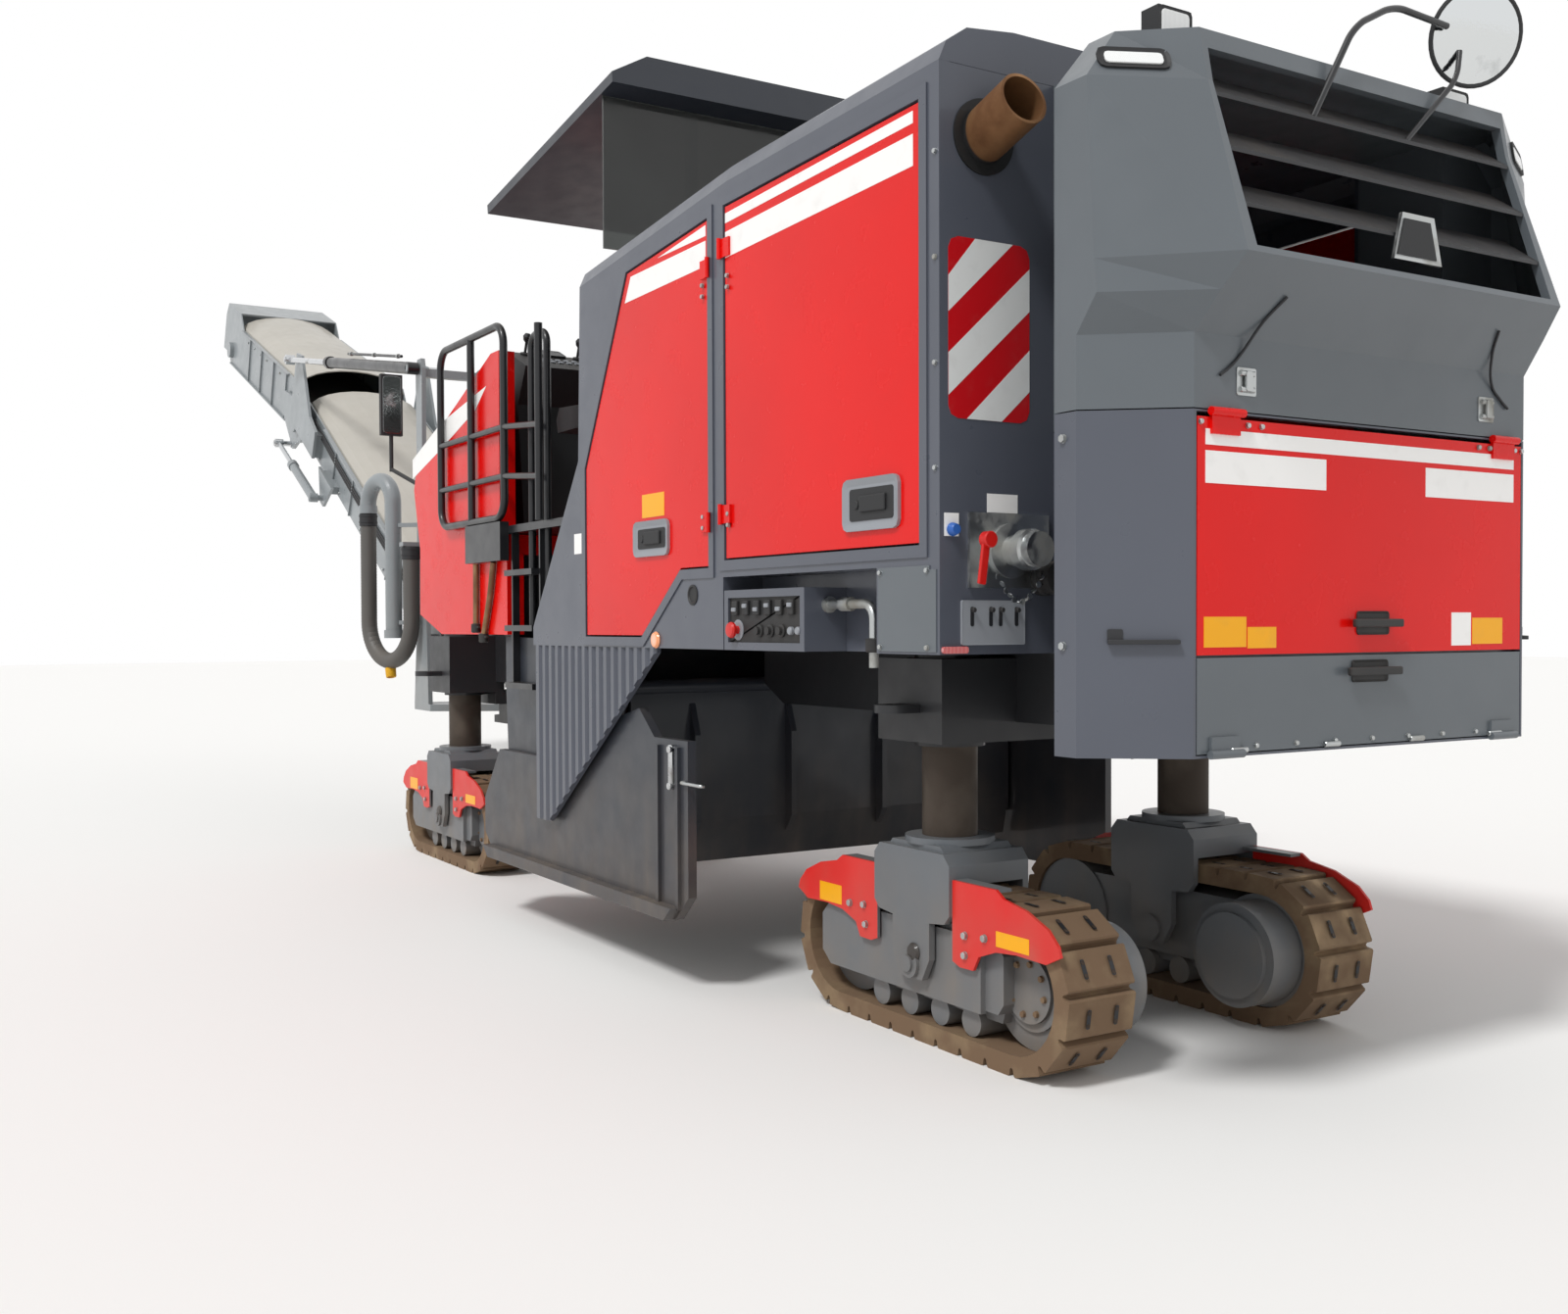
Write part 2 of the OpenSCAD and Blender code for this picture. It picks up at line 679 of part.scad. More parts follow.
// Outlines of the door openings in the hood's side
REAR_OPENING = [
    [740, skirt_z + 350], [pillar_x0, skirt_z + 350], [pillar_x0, seam(pillar_x0) - 87], [740, seam(740) - 92]
];
FRONT_OPENING = [
    [pillar_x1, skirt_z + 325], [2390, skirt_z + 325], [2756, skirt_z + 46], [3344, skirt_z + 46],
    [3344, 2296], [2890, seam(2890) - 84], [pillar_x1, seam(pillar_x1) - 92]
];

module hood_sides() {
    color(slate) place() {
        both_sides() {
            difference() {
                union() {
                    plate_xz([
                        [hood_rear_x, skirt_z], [skirt_x1, skirt_z], [skirt_x1, 1560], [3430, 2340],
                        [hood_front_x, seam(hood_front_x)], [seam_mid_x, seam_mid_z], [hood_rear_x, seam_rear_z]
                    ], panel_y, half_w);
                    // Raised frames round the doors
                    for (outline = [REAR_OPENING, FRONT_OPENING])
                        plate_xz(shrink(outline, -bezel_w), half_w - 1, half_w + bezel_t);
                    // Recess for the controls under the rear door
                    block([recess_x0 - 20, recess_y - 10, skirt_z], [recess_x1 + 20, half_w - 1, recess_z + 20]);
                }
                plate_xz(REAR_OPENING, panel_y - 1, half_w + bezel_t + 1);
                plate_xz(FRONT_OPENING, panel_y - 1, half_w + bezel_t + 1);
                block([recess_x0, recess_y, skirt_z - 1], [recess_x1, half_w + bezel_t + 1, recess_z]);
            }
            // Rear-facing panel with the hole for the exhaust
            difference() {
                block([hood_rear_x, neck_y, skirt_z], [hood_rear_x + hood_t, panel_y, seam(hood_rear_x + hood_t)]);
                translate([hood_rear_x - 10, exhaust_y, exhaust_z]) rotate([0, 90, 0])
                    cylinder(d = exhaust_d + 60, h = hood_t + 30, $fn = 48);
            }
        }
        // Front wall, with the uprights on both sides of the platform
        block([hood_front_x - hood_t, -panel_y, 1955], [hood_front_x, panel_y, seam_front_z]);
    }
}

// Half section of the cap: share of the rise, distance in from the side
CAP = [[0, 0], [0.45, 28], [0.85, 110], [1, 300]];

function cap_side(x, inset, drop, side) = [
    for (p = CAP) [x, side * (half_w - p[1] - inset), seam(x) + seat_gap + p[0] * cap_rise - (p[0] > 0 ? inset : drop)]
];

function cap_ring(x, inset, drop) =
    let (left = cap_side(x, inset, drop, 1), right = cap_side(x, inset, drop, -1))
    concat(left, [for (i = [len(CAP) - 1 : -1 : 0]) right[i]]);

module hood_cap() {
    color(slate) place() difference() {
        loft([for (x = [hood_rear_x, seam_mid_x, hood_front_x]) cap_ring(x, 0, 0)]);
        loft([for (x = [hood_rear_x + hood_t + 10, seam_mid_x, hood_front_x - hood_t]) cap_ring(x, 30, 10)]);
    }
}

hinge_y = half_w + bezel_t + seat_gap + knuckle_d / 2;

// A side door on its hinges; away is the way from the hinge to the door
module hood_door(outline, hinge_x, away) {
    plate_xz(shrink(outline, door_gap), half_w - door_t, half_w);
    for (z = [outline[0][1] + 180, outline[len(outline) - 1][1] - 200]) {
        post(hinge_x, hinge_y, z - 40, z + 40, knuckle_d);
        // Leaf from the knuckle over the frame's edge down to the door
        x = hinge_x + away * 68;
        block([min(x, hinge_x), half_w + bezel_t + seat_gap, z - 36],
            [max(x, hinge_x), half_w + bezel_t + seat_gap + 5, z + 36]);
        block([min(x, x - away * 38), half_w - 1, z - 36], [max(x, x - away * 38), half_w + bezel_t + 5, z + 36]);
    }
}

rear_hinge_x = pillar_x0 + 16;
front_hinge_x = pillar_x1 - 16;

module door_left_rear() { color(red) place() hood_door(REAR_OPENING, rear_hinge_x, -1); }
module door_left_front() { color(red) place() hood_door(FRONT_OPENING, front_hinge_x, 1); }
module door_right_rear() { color(red) place() mirror([0, 1, 0]) hood_door(REAR_OPENING, rear_hinge_x, -1); }
module door_right_front() { color(red) place() mirror([0, 1, 0]) hood_door(FRONT_OPENING, front_hinge_x, 1); }

// Rear unit

unit_t = 30;
exhaust_y = half_w - 175;
exhaust_z = 3115;

// Plan of the rear unit at a height: back face, its half width, start of the sides, half width
function unit_plan(level, inset) =
    let (xb = level[1] + inset, yb = level[2] - inset * 0.4, xs = level[3] + inset * 0.4, ys = level[4] - inset)
    [
        [unit_len - inset, -ys], [unit_len - inset, ys], [xs, ys], [xb, yb], [xb, -yb], [xs, -ys]
    ];

module unit_neck(z0, z1, foot, roof) {
    difference() {
        block([unit_len - 1, -neck_y, z0], [hood_rear_x - seat_gap, neck_y, z1]);
        block([unit_len - unit_t - 5, unit_t - neck_y, z0 + foot], [hood_rear_x + 1, neck_y - unit_t, z1 - roof]);
    }
}

module rear_housing() {
    level = [0, 0, back_y, corner_len, unit_y];
    color(slate) place() {
        difference() {
            plate_xy(unit_plan(level, 0), unit_z, unit_seam_z);
            plate_xy(unit_plan(level, unit_t), unit_z + unit_t, unit_seam_z + 1);
            // Way in behind the red door and the flap, and way through to the hood
            block([-1, -back_y + 10, unit_z + 8], [unit_t + 40, back_y - 10, unit_seam_z - 6]);
            block([unit_len - unit_t - 1, unit_t - neck_y, skirt_z + unit_t],
                [unit_len + 1, neck_y - unit_t, unit_seam_z + 1]);
        }
        // Sill behind the seam of the door and the flap
        intersection() {
            block([unit_t + 6, -unit_y, flap_seam_z - 20], [unit_t + 46, unit_y, flap_seam_z + 20]);
            plate_xy(unit_plan(level, 0), unit_z, unit_seam_z);
        }
        unit_neck(skirt_z, unit_seam_z, unit_t, -1);
    }
}

// Levels of the rear hood: height, back face, its half width, start of the sides, half width
lip_z = 2630;
sill_z = lip_z + 20;
outlet_z = unit_top_z - 60;
outlet_y = 715;
UNIT_LEVELS = [
    [unit_seam_z + 4, 0, back_y, corner_len, unit_y],
    [2420, 0, back_y, corner_len, unit_y],
    [2530, -84, back_y - 21, 129, unit_y],
    [lip_z, -lip_reach, back_y - 46, 140, unit_y],
    [unit_top_z - 162, 15, back_y - 71, 171, unit_y],
    [unit_top_z, 46, back_y - 66, 200, unit_y - 138]
];

function unit_ring(level, inset, lift) = [for (p = unit_plan(level, inset)) [p.x, p.y, level[0] + lift]];

module rear_hood() {
    last = len(UNIT_LEVELS) - 1;
    color(pale) place() {
        difference() {
            loft([for (level = UNIT_LEVELS) unit_ring(level, 0, 0)]);
            loft([for (i = [0 : last]) unit_ring(UNIT_LEVELS[i], unit_t, i == 0 ? -10 : i == last ? -unit_t : 0)]);
            block([-400, -outlet_y, sill_z], [150, outlet_y, outlet_z]);
            block([unit_len - unit_t - 5, unit_t - neck_y, unit_seam_z],
                [unit_len + 1, neck_y - unit_t, unit_top_z - unit_t]);
        }
        unit_neck(unit_seam_z + 4, unit_top_z, -1, unit_t);
    }
}

// Sloping blades in the outlet
module outlet_blades() {
    pitch = (outlet_z - sill_z) / (blade_count + 0.55);
    color(dark) place() for (i = [0 : blade_count - 1])
        let (z = sill_z + (i + 0.7) * pitch, x = -lip_reach + (z - lip_z) * 0.32)
        plate_xz([[x + 6, z], [x + 130, z + 95], [x + 130, z + 95 + blade_t], [x + 6, z + blade_t]],
            seat_gap - outlet_y, outlet_y - seat_gap);
}

module exhaust_pipe() {
    from = [hood_rear_x + 140, exhaust_y - 5, exhaust_z - 40];
    mouth = [hood_rear_x - 210, exhaust_y + 10, exhaust_z + 60];
    color(dust) place() difference() {
        union() {
            rod(from, mouth, exhaust_d + 20);
            translate([hood_rear_x - 8, exhaust_y, exhaust_z]) rotate([0, 90, 0])
                cylinder(d = exhaust_d + 90, h = 8, $fn = 48);
        }
        rod(from + 0.15 * (mouth - from), mouth + 0.1 * (mouth - from), exhaust_d);
    }
}

// Control boxes, tap and coupling on the hood's lower edge

box_x0 = recess_x1 - 602;
box_x1 = recess_x1 - 15;
box_top = skirt_z + 232;

module side_controls() {
    color(dark) place() both_sides() difference() {
        block([box_x0, recess_y, skirt_z], [box_x1, half_w + 4, box_top]);
        block([box_x0 + 30, half_w - 8, skirt_z + 30], [box_x1 - 30, half_w + 5, box_top - 30]);
    }
}

coupling_y = half_w - 277;
coupling_z = 1803;
tap_x = box_x0 - 230 - tap_bend;
tap_y = half_w - 100;
tap_z = 1640;
tap_end_z = skirt_z - 53;

module water_fittings() {
    color(steel) place() {
        // Filling coupling on its plate
        block([hood_rear_x - 10, coupling_y - 165, coupling_z - 120], [hood_rear_x, coupling_y + 165, coupling_z + 120]);
        translate([hood_rear_x - 9, coupling_y, coupling_z]) rotate([0, -90, 0]) rotate_extrude($fn = 48)
            polygon([[0, 0], [88, 0], [88, 14], [50, 20], [50, 70], [66, 76], [66, 112], [56, 118], [56, 150], [0, 150]]);
        // Rinsing tap in the recess
        rod([box_x0, tap_y, tap_z], [tap_x + tap_bend, tap_y, tap_z], tap_d);
        rod([box_x0, tap_y, tap_z], [box_x0 - 14, tap_y, tap_z], tap_d + 26);
        rod([box_x0 - 90, tap_y, tap_z], [box_x0 - 150, tap_y, tap_z], tap_d + 16);
        bend_xz(tap_x + tap_bend, tap_y, tap_z - tap_bend, tap_bend, 90, tap_d);
        post(tap_x, tap_y, tap_end_z, tap_z - tap_bend, tap_d);
    }
}

// Operator's platform, rails and consoles

roof_post_d = 60;
guide_post_d = 86;
deck_x1 = bulkhead_x - 80;

module platform() {
    color(dark) place() {
        block([hood_front_x + seat_gap, -tank_y - 1, floor_z - 40], [deck_x1, tank_y + 1, floor_z]);
        block([hood_front_x + 60, -900, 1950 + seat_gap], [bulkhead_x - 145, 900, floor_z - 40]);
        // Guide tubes of the roof
        both_sides() difference() {
            post(hood_front_x + 110, 600, floor_z - 1, floor_z + 1300, guide_post_d);
            post(hood_front_x + 110, 600, floor_z + 40, floor_z + 1310, roof_post_d + 2 * guide_gap);
        }
        // Boxes beside the tank, under the rails
        both_sides() block([bulkhead_x - 170, tank_y, floor_z - 185], [bulkhead_x + 370, half_w - 5, floor_z + 22]);
        // Steps and the hoop to hold on the left
        for (z = [1240, 1540, 1830]) block([4060, housing_y + 6, z], [4440, half_w - 15, z + 30]);
        for (x = [4052, 4432]) block([x, housing_y + 1, 1240], [x + 16, housing_y + 40, floor_z - 39]);
        hoop(4040, 4250, tank_y - 45, 1560, floor_z + 970, 70, 38);
    }
}

rail_y = half_w - 25;
rail_x0 = bulkhead_x - 190;
rail_x1 = bulkhead_x + 825;

// Frames of bent tube beside the platform, with bars over the way in
module railings() {
    low = floor_z + 22 + rail_d / 2;
    top = floor_z + 1065;
    color(dark) place() both_sides() {
        tube_frame(rail_x0, rail_x1, rail_y, low, top, rail_bend, rail_d);
        rod([bulkhead_x + 313, rail_y, low], [bulkhead_x + 313, rail_y, top], rail_d);
        for (z = [floor_z + 260, floor_z + 520]) {
            rod([rail_x0, rail_y, z], [rail_x1, rail_y, z], rail_d - 8);
            rod([rail_x0 - 480, rail_y, z - 40], [rail_x0, rail_y, z], rail_d - 8);
        }
        rod([rail_x0 - 480, rail_y, floor_z + seat_gap], [rail_x0 - 480, rail_y, top - 80], rail_d);
    }
}

module consoles() {
    x0 = bulkhead_x;
    color(dark) place() both_sides() {
        plate_xz([
            [x0 + 100, floor_z], [x0 + 500, floor_z], [x0 + 500, 3000], [x0 + 340, 3120], [x0 + 60, 3000],
            [x0 + 180, 2800]
        ], 500, 1000);
        // Seat
        post(x0 - 540, 750, floor_z, floor_z + 500, 90);
        plate_xz([
            [x0 - 780, floor_z + 490], [x0 - 310, floor_z + 490], [x0 - 290, floor_z + 560], [x0 - 330, floor_z + 620],
            [x0 - 700, floor_z + 600], [x0 - 790, floor_z + 1060], [x0 - 870, floor_z + 1060], [x0 - 800, floor_z + 560]
        ], 530, 970);
    }
}

module front_tank() {
    nose_x = front_track_x - 600;
    outline = [
        [bulkhead_x - 140, tank_z], [nose_x - 390, tank_z], [nose_x + 10, tank_z + 120], [nose_x, 2040],
        [nose_x + 110, 2410], [nose_x + 40, 2580], [bulkhead_x + 80, tank_top_z], [bulkhead_x - 40, tank_top_z],
        [bulkhead_x - 40, floor_z], [bulkhead_x - 140, floor_z - 45]
    ];
    color(red) place() difference() {
        plate_xz(outline, -tank_y, tank_y);
        block([bulkhead_x - 240, -tank_y + 90, floor_z], [bulkhead_x + 510, tank_y - 90, 4000]);
        block([bulkhead_x - 240, -tank_y - 1, floor_z - 45], [deck_x1 + seat_gap, tank_y + 1, 4000]);
        // Room for the frame's bulkhead and girders
        block([bulkhead_x - 240, -bulkhead_y - seat_gap, tank_z - 1],
            [bulkhead_x + plate_t + seat_gap, bulkhead_y + seat_gap, 1950]);
    }
}

module mirrors() {
    x = front_track_x - 110;
    foot_x = front_track_x - 490;
    color(dark) place() both_sides() {
        block([x - 20, half_w - 100, 2790], [x + 20, half_w + 40, 3180]);
        rod([x, half_w - 30, 2800], [x, half_w - 30, 2560], 26);
        rod([x, half_w - 30, 2575], [foot_x + 25, tank_y - 75, 2430], 26);
        block([foot_x + seat_gap, tank_y - 115, 2380], [foot_x + 40, tank_y - 35, 2440]);
    }
}

module work_lamps() {
    color(dark) place() both_sides() {
        block([215, 660, unit_top_z], [245, 720, unit_top_z + 30]);
        block([190, 620, unit_top_z + 29], [262, 760, unit_top_z + 115]);
    }
}

// Roof

module at_roof() {
    translate([hood_front_x - 90, 0, roof_z]) rotate([0, roof_slope, 0]) children();
}

module roof() {
    color(dark) place() {
        at_roof() bar_x([
            [-roof_y, -50], [roof_y, -50], [roof_y, 0], [roof_y - 190, 110], [-roof_y + 190, 110], [-roof_y, 0]
        ], 0, roof_len);
        both_sides() post(hood_front_x + 110, 600, floor_z + 900, roof_z + 10, roof_post_d);
    }
}

module roof_window() {
    window_x = hood_front_x + 52;
    top = roof_z - 50 / cos(roof_slope) - (window_x - hood_front_x + 90) * tan(roof_slope);
    color([0.2, 0.22, 0.22, 0.5]) place()
        block([window_x - 12, -roof_y + 15, seam_front_z + 210], [window_x, roof_y - 15, top]);
}

// Inner conveyor that lifts the millings from the drum to the slewing axis

belt_t = 12;
belt_gap = 6;
inner_x0 = bulkhead_x - 160;
inner_z0 = 800;
inner_slope = atan((inner_top_z - inner_z0) / (slew_x - inner_x0));

// A belt round a roller at each end, in a flight's own frame; u and v are along it and square to it
module belt_loop(u0, u1, v, r, half) {
    difference() {
        union() {
            block([u0, -half + belt_gap, v - r], [u1, half - belt_gap, v + r]);
            for (u = [u0, u1]) shaft_y(u, v, -half + belt_gap, half - belt_gap, 2 * r);
        }
        block([u0 + r, -half, v - r + belt_t], [u1 - r, half, v + r - belt_t]);
    }
    for (u = [u0, u1]) shaft_y(u, v, -half, half, 70);
}

module at_inner() {
    translate([inner_x0, 0, inner_z0]) rotate([0, -inner_slope, 0]) children();
}

module inner_conveyor() {
    len = (slew_x - 30 - inner_x0) / cos(inner_slope);
    w = inner_w / 2;
    foot_x = front_track_x - 160;
    foot_top = inner_z0 + (foot_x - inner_x0) * tan(inner_slope) - 110 / cos(inner_slope) + 25;
    color(dark) place() {
        at_inner() {
            both_sides() plate_xz([[0, -110], [len, -110], [len, 100], [400, 100], [300, 60], [0, 60]], w - 10, w);
            belt_loop(60, len - 70, -48, 48, w - 10);
        }
        // Feet on the frame's cross beam
        both_sides() block([foot_x, w - 70, beam_top_z], [foot_x + 40, w, foot_top]);
    }
}

// Conveyor: mast, two flights and their cylinders

mast_y0 = 600;
mast_y1 = 632;
ram_y = 682;
pin_d = 50;
lift_pin_d = 120;

// Route of the extraction hose: a U that hangs between two points
hose_front = [8260, 850];
hose_rear = [7690, 705];
hose_bend = norm(hose_front - hose_rear) / 2;
hose_turn = atan2(hose_front[1] - hose_rear[1], hose_front[0] - hose_rear[0]);
hose_low = 1310 + hose_bend;
hose_end_z = 2150;
duct_z = 2480;
duct_bend = 175;

// Half of a ring of round tube that stands in the hose's plane
module half_ring(at, r, d, flip) {
    translate(at) rotate([0, 0, hose_turn]) rotate([90, 0, 0]) rotate([0, 0, flip])
        rotate_extrude(angle = 180, $fn = 64) translate([r, 0]) circle(d = d, $fn = 32);
}

module slewing_mast() {
    color(pale) place() {
        // Base with the lower slewing pin
        plate_xy([
            [slew_x - 120, -120], [slew_x + 200, -mast_y1], [slew_x + 560, -mast_y1], [slew_x + 560, mast_y1],
            [slew_x + 200, mast_y1], [slew_x - 120, 120]
        ], 950 + 2 * seat_gap, 1000);
        post(slew_x, 0, 892, 960, 90);
        // Cheeks with the lifting pins, up to the mast's head
        both_sides() plate_xz([
            [lift_x - 160, 1000], [lift_x + 160, 1000], [lift_x + 90, 1600], [lift_x + 60, 2600],
            [lift_x + 70, mast_z], [lift_x + 30, mast_z + 70], [lift_x - 50, mast_z + 70],
            [lift_x - 70, mast_z], [lift_x - 60, 2600], [lift_x - 130, 1600]
        ], mast_y0, mast_y1);
        both_sides() block([lift_x - 160, mast_y0, 999], [lift_x + 160, mast_y1, 1001]);
        both_sides() shaft_y(lift_x, lift_z, flight_y - flight_t + 1, mast_y0 + 5, lift_pin_d);
        // Upper slewing pin and its tongue
        block([lift_x - 60, -mast_y0, 2113], [lift_x + 50, mast_y0, 2190]);
        plate_xy([
            [lift_x - 50, -160], [lift_x - 50, 160], [slew_x - 40, 70], [slew_x - 70, 0], [slew_x - 40, -70]
        ], 2110 + seat_gap, 2150);
        post(slew_x, 0, 2045, 2120, 70);
        block([lift_x - 40, -mast_y0, mast_z - 60], [lift_x + 20, mast_y0, mast_z]);
        // Duct that turns down into the extraction hose, its brackets, and the hose's other seat
        duct = hose_front - 2 * duct_bend * [cos(hose_turn), sin(hose_turn)];
        post(duct[0], duct[1], 1500, duct_z, hose_d);
        post(duct[0], duct[1], 1480, 1540, hose_d + 24);
        half_ring([hose_front[0] - duct_bend * cos(hose_turn), hose_front[1] - duct_bend * sin(hose_turn), duct_z],
            duct_bend, hose_d, 0);
        post(hose_front[0], hose_front[1], duct_z - 60, duct_z, hose_d + 16);
        for (z = [1580, 2300]) plate_xy([
            [lift_x + 60, mast_y1 - 1], [lift_x + 90, mast_y1 - 1], [duct[0] + 20, duct[1]], [duct[0] - 40, duct[1]]
        ], z, z + 30);
        block([lift_x - 50, mast_y1 - 1, hose_end_z], [hose_rear[0] + 50, hose_rear[1] + 70, hose_end_z + 30]);
        // Pins of the lifting cylinders
        both_sides() shaft_y(lift_x, mast_z, mast_y1 - 5, ram_y + 40, pin_d);
    }
}

module extraction_hose() {
    color(dark) place() {
        post(hose_front[0], hose_front[1], hose_low, duct_z - 60 - seat_gap, hose_d);
        post(hose_rear[0], hose_rear[1], hose_low, hose_end_z - seat_gap, hose_d);
        half_ring([(hose_front[0] + hose_rear[0]) / 2, (hose_front[1] + hose_rear[1]) / 2, hose_low],
            hose_bend, hose_d, 180);
    }
}

module at_lower() {
    translate([lift_x, 0, lift_z]) rotate([0, -lower_slope, 0]) children();
}

module at_upper() {
    translate([fold_x, 0, fold_z]) rotate([0, -upper_slope, 0]) children();
}

flight_in = flight_y - flight_t;
tall_y0 = 580;
tall_y1 = 605;
ear_y0 = 532;
ear_y1 = 565;
lift_eye = [lower_len + 100, 520];
fold_seat = [3100, -270];
clear_r = 230;
lower_top = 200;

module lower_flight() {
    bottom = -160;
    color(pale) place() at_lower() difference() {
        union() {
            both_sides() {
                plate_xz([
                    [-500, bottom + 60], [-420, bottom], [lower_len - 120, bottom], [lower_len - 120, lower_top],
                    [150, lower_top], [-150, 30], [-430, 30], [-500, -25]
                ], flight_in, flight_y);
                // Flange along the upper edge, and stiffening ribs
                block([160, flight_y - 1, lower_top - 12], [lower_len - 780, flight_y + 22, lower_top]);
                for (u = [700 : 600 : lower_len - 900])
                    block([u, flight_y - 1, bottom], [u + 12, flight_y + 16, lower_top - 11]);
                // Tall end plates round the folding axis, set out on blocks
                plate_xz([
                    [lower_len - 760, fold_v - 50], [lower_len - 60, fold_v - 50], [lower_len, fold_v - 110],
                    [lower_len + 110, fold_v - 90], [lower_len + 170, fold_v], [lower_len + 190, 560],
                    [lower_len + 10, 600], [lower_len - 500, lower_top], [lower_len - 760, lower_top - 40]
                ], tall_y0, tall_y1);
                block([lower_len - 740, flight_y - 1, bottom + 60], [lower_len - 420, tall_y0 + 1, lower_top - 80]);
                // Pins: folding axis and folding cylinder
                shaft_y(lower_len, fold_v, ear_y0 - 10, tall_y0 + 1, 100);
                plate_xz([
                    [fold_seat[0] - 50, fold_seat[1] - 60], [fold_seat[0] + 50, fold_seat[1] - 60],
                    [fold_seat[0] + 240, bottom + 90], [fold_seat[0] - 240, bottom + 90]
                ], tall_y0, tall_y1);
                block([fold_seat[0] - 180, flight_y - 1, bottom + 10], [fold_seat[0] + 180, tall_y0 + 1, bottom + 80]);
                shaft_y(fold_seat[0], fold_seat[1], tall_y1 - 5, ram_y + 40, pin_d);
            }
            // Cross members between the runs of the belt
            for (u = [300, 1500, 2700, 3900]) block([u, -flight_in - 1, -90], [u + 60, flight_in + 1, -40]);
        }
        both_sides() shaft_y(0, 0, flight_in - 1, flight_y + 1, lift_pin_d + 2 * guide_gap);
    }
}

module lower_belt() {
    color(dark) place() at_lower() belt_loop(-380, lower_len - 210, -55, 75, flight_in);
}

// A cover of bent sheet over a flight: half width at its foot, foot, rise
module flight_cover(u0, u1, w, foot, rise) {
    arch = [for (a = [0 : 15 : 180]) [w * cos(a), foot + rise * sin(a)]];
    inside = [for (a = [180 : -15 : 0]) [(w - 10) * cos(a), foot - 1 + (rise - 10) * sin(a)]];
    bar_x(concat(arch, inside), u0, u1);
}

module lower_cover() {
    color(pale) place() at_lower() flight_cover(600, lower_len - 140, flight_in, 160, 190);
}

fold_pin_r = 330;
fold_pin_a = -54;
fold_pin = [fold_pin_r * cos(fold_pin_a), fold_pin_r * sin(fold_pin_a)];
upper_top = 320;

module upper_flight() {
    end = upper_len + chute_reach;
    color(pale) place() at_upper() {
        both_sides() {
            plate_xz([
                [clear_r, -110], [clear_r + 60, -150], [upper_len - 200, -150], [upper_len + 60, -150],
                [upper_len + 150, -60], [end, -60], [end - 40, 330], [end - 140, 470], [upper_len - 320, 470],
                [upper_len - 520, upper_top], [clear_r + 120, upper_top], [clear_r, upper_top - 90]
            ], flight_in, flight_y);
            // Flanges along the edges, and stiffening ribs
            block([clear_r + 420, flight_y - 1, upper_top - 12], [upper_len - 520, flight_y + 22, upper_top]);
            block([clear_r + 420, flight_y - 1, -150], [upper_len, flight_y + 22, -138]);
            for (u = [clear_r + 500 : 560 : upper_len - 500])
                block([u, flight_y - 1, -139], [u + 12, flight_y + 16, upper_top - 11]);
            difference() {
                union() {
                    shaft_y(0, 0, ear_y0, ear_y1, 400);
                    plate_xz([[-20, -190], [fold_pin[0] - 45, fold_pin[1] - 35], [fold_pin[0] + 40, fold_pin[1] - 40],
                        [fold_pin[0] + 75, fold_pin[1] + 30], [clear_r + 400, -60], [clear_r + 400, 160],
                        [0, 190]], ear_y0, ear_y1);
                }
                shaft_y(0, 0, ear_y0 - 1, ear_y1 + 1, 100 + 2 * guide_gap);
            }
            block([clear_r + 60, flight_y - 1, -50], [clear_r + 380, ear_y0 + 1, 150]);
            // Bearing of the head drum
            shaft_y(upper_len, 0, flight_y - 1, flight_y + 40, 170);
        }
        for (u = [clear_r + 300, 1400, 2400]) block([u, -flight_in - 1, -25], [u + 60, flight_in + 1, 25]);
        // Hood over the head and the chute's front
        bar_x([[-flight_in - 1, 458], [-flight_in - 1, 470], [flight_in + 1, 470], [flight_in + 1, 458]],
            upper_len - 320, end - 140);
        plate_xz([[end, -60], [end - 40, 330], [end - 140, 470], [end - 140, 458], [end - 52, 326], [end - 12, -60]],
            -flight_in - 1, flight_in + 1);
    }
}

module upper_belt() {
    color(dark) place() at_upper() belt_loop(clear_r + 120, upper_len, 0, 90, flight_in);
}

module upper_cover() {
    color(pale) place() at_upper() flight_cover(clear_r + 60, upper_len - 330, flight_in, upper_top - 40, 190);
}

// Point of the lower flight's frame in the machine's x and z
function lower_point(p) = [
    lift_x + p[0] * cos(lower_slope) - p[1] * sin(lower_slope),
    lift_z + p[0] * sin(lower_slope) + p[1] * cos(lower_slope)
];

function upper_point(p) = [
    fold_x + p[0] * cos(upper_slope) - p[1] * sin(upper_slope),
    fold_z + p[0] * sin(upper_slope) + p[1] * cos(upper_slope)
];

// A cylinder from its pin at a towards its rod's eye at b, both [x, z]; its wall is a fifth of its diameter
module ram_barrel(a, b, y, d, len) {
    dir = (b - a) / norm(b - a);
    end = a + dir * len;
    difference() {
        union() {
            shaft_y(a[0], a[1], y - d * 0.45, y + d * 0.45, d);
            rod([a[0], y, a[1]], [end[0], y, end[1]], d);
            rod([end[0] - dir[0] * 70, y, end[1] - dir[1] * 70], [end[0], y, end[1]], d + 16);
        }
        shaft_y(a[0], a[1], y - d, y + d, pin_d + 2 * guide_gap);
        rod([a[0] + dir[0] * 120, y, a[1] + dir[1] * 120], [end[0] + dir[0] * 2, y, end[1] + dir[1] * 2],
            d * 0.55 + 2 * guide_gap);
    }
}

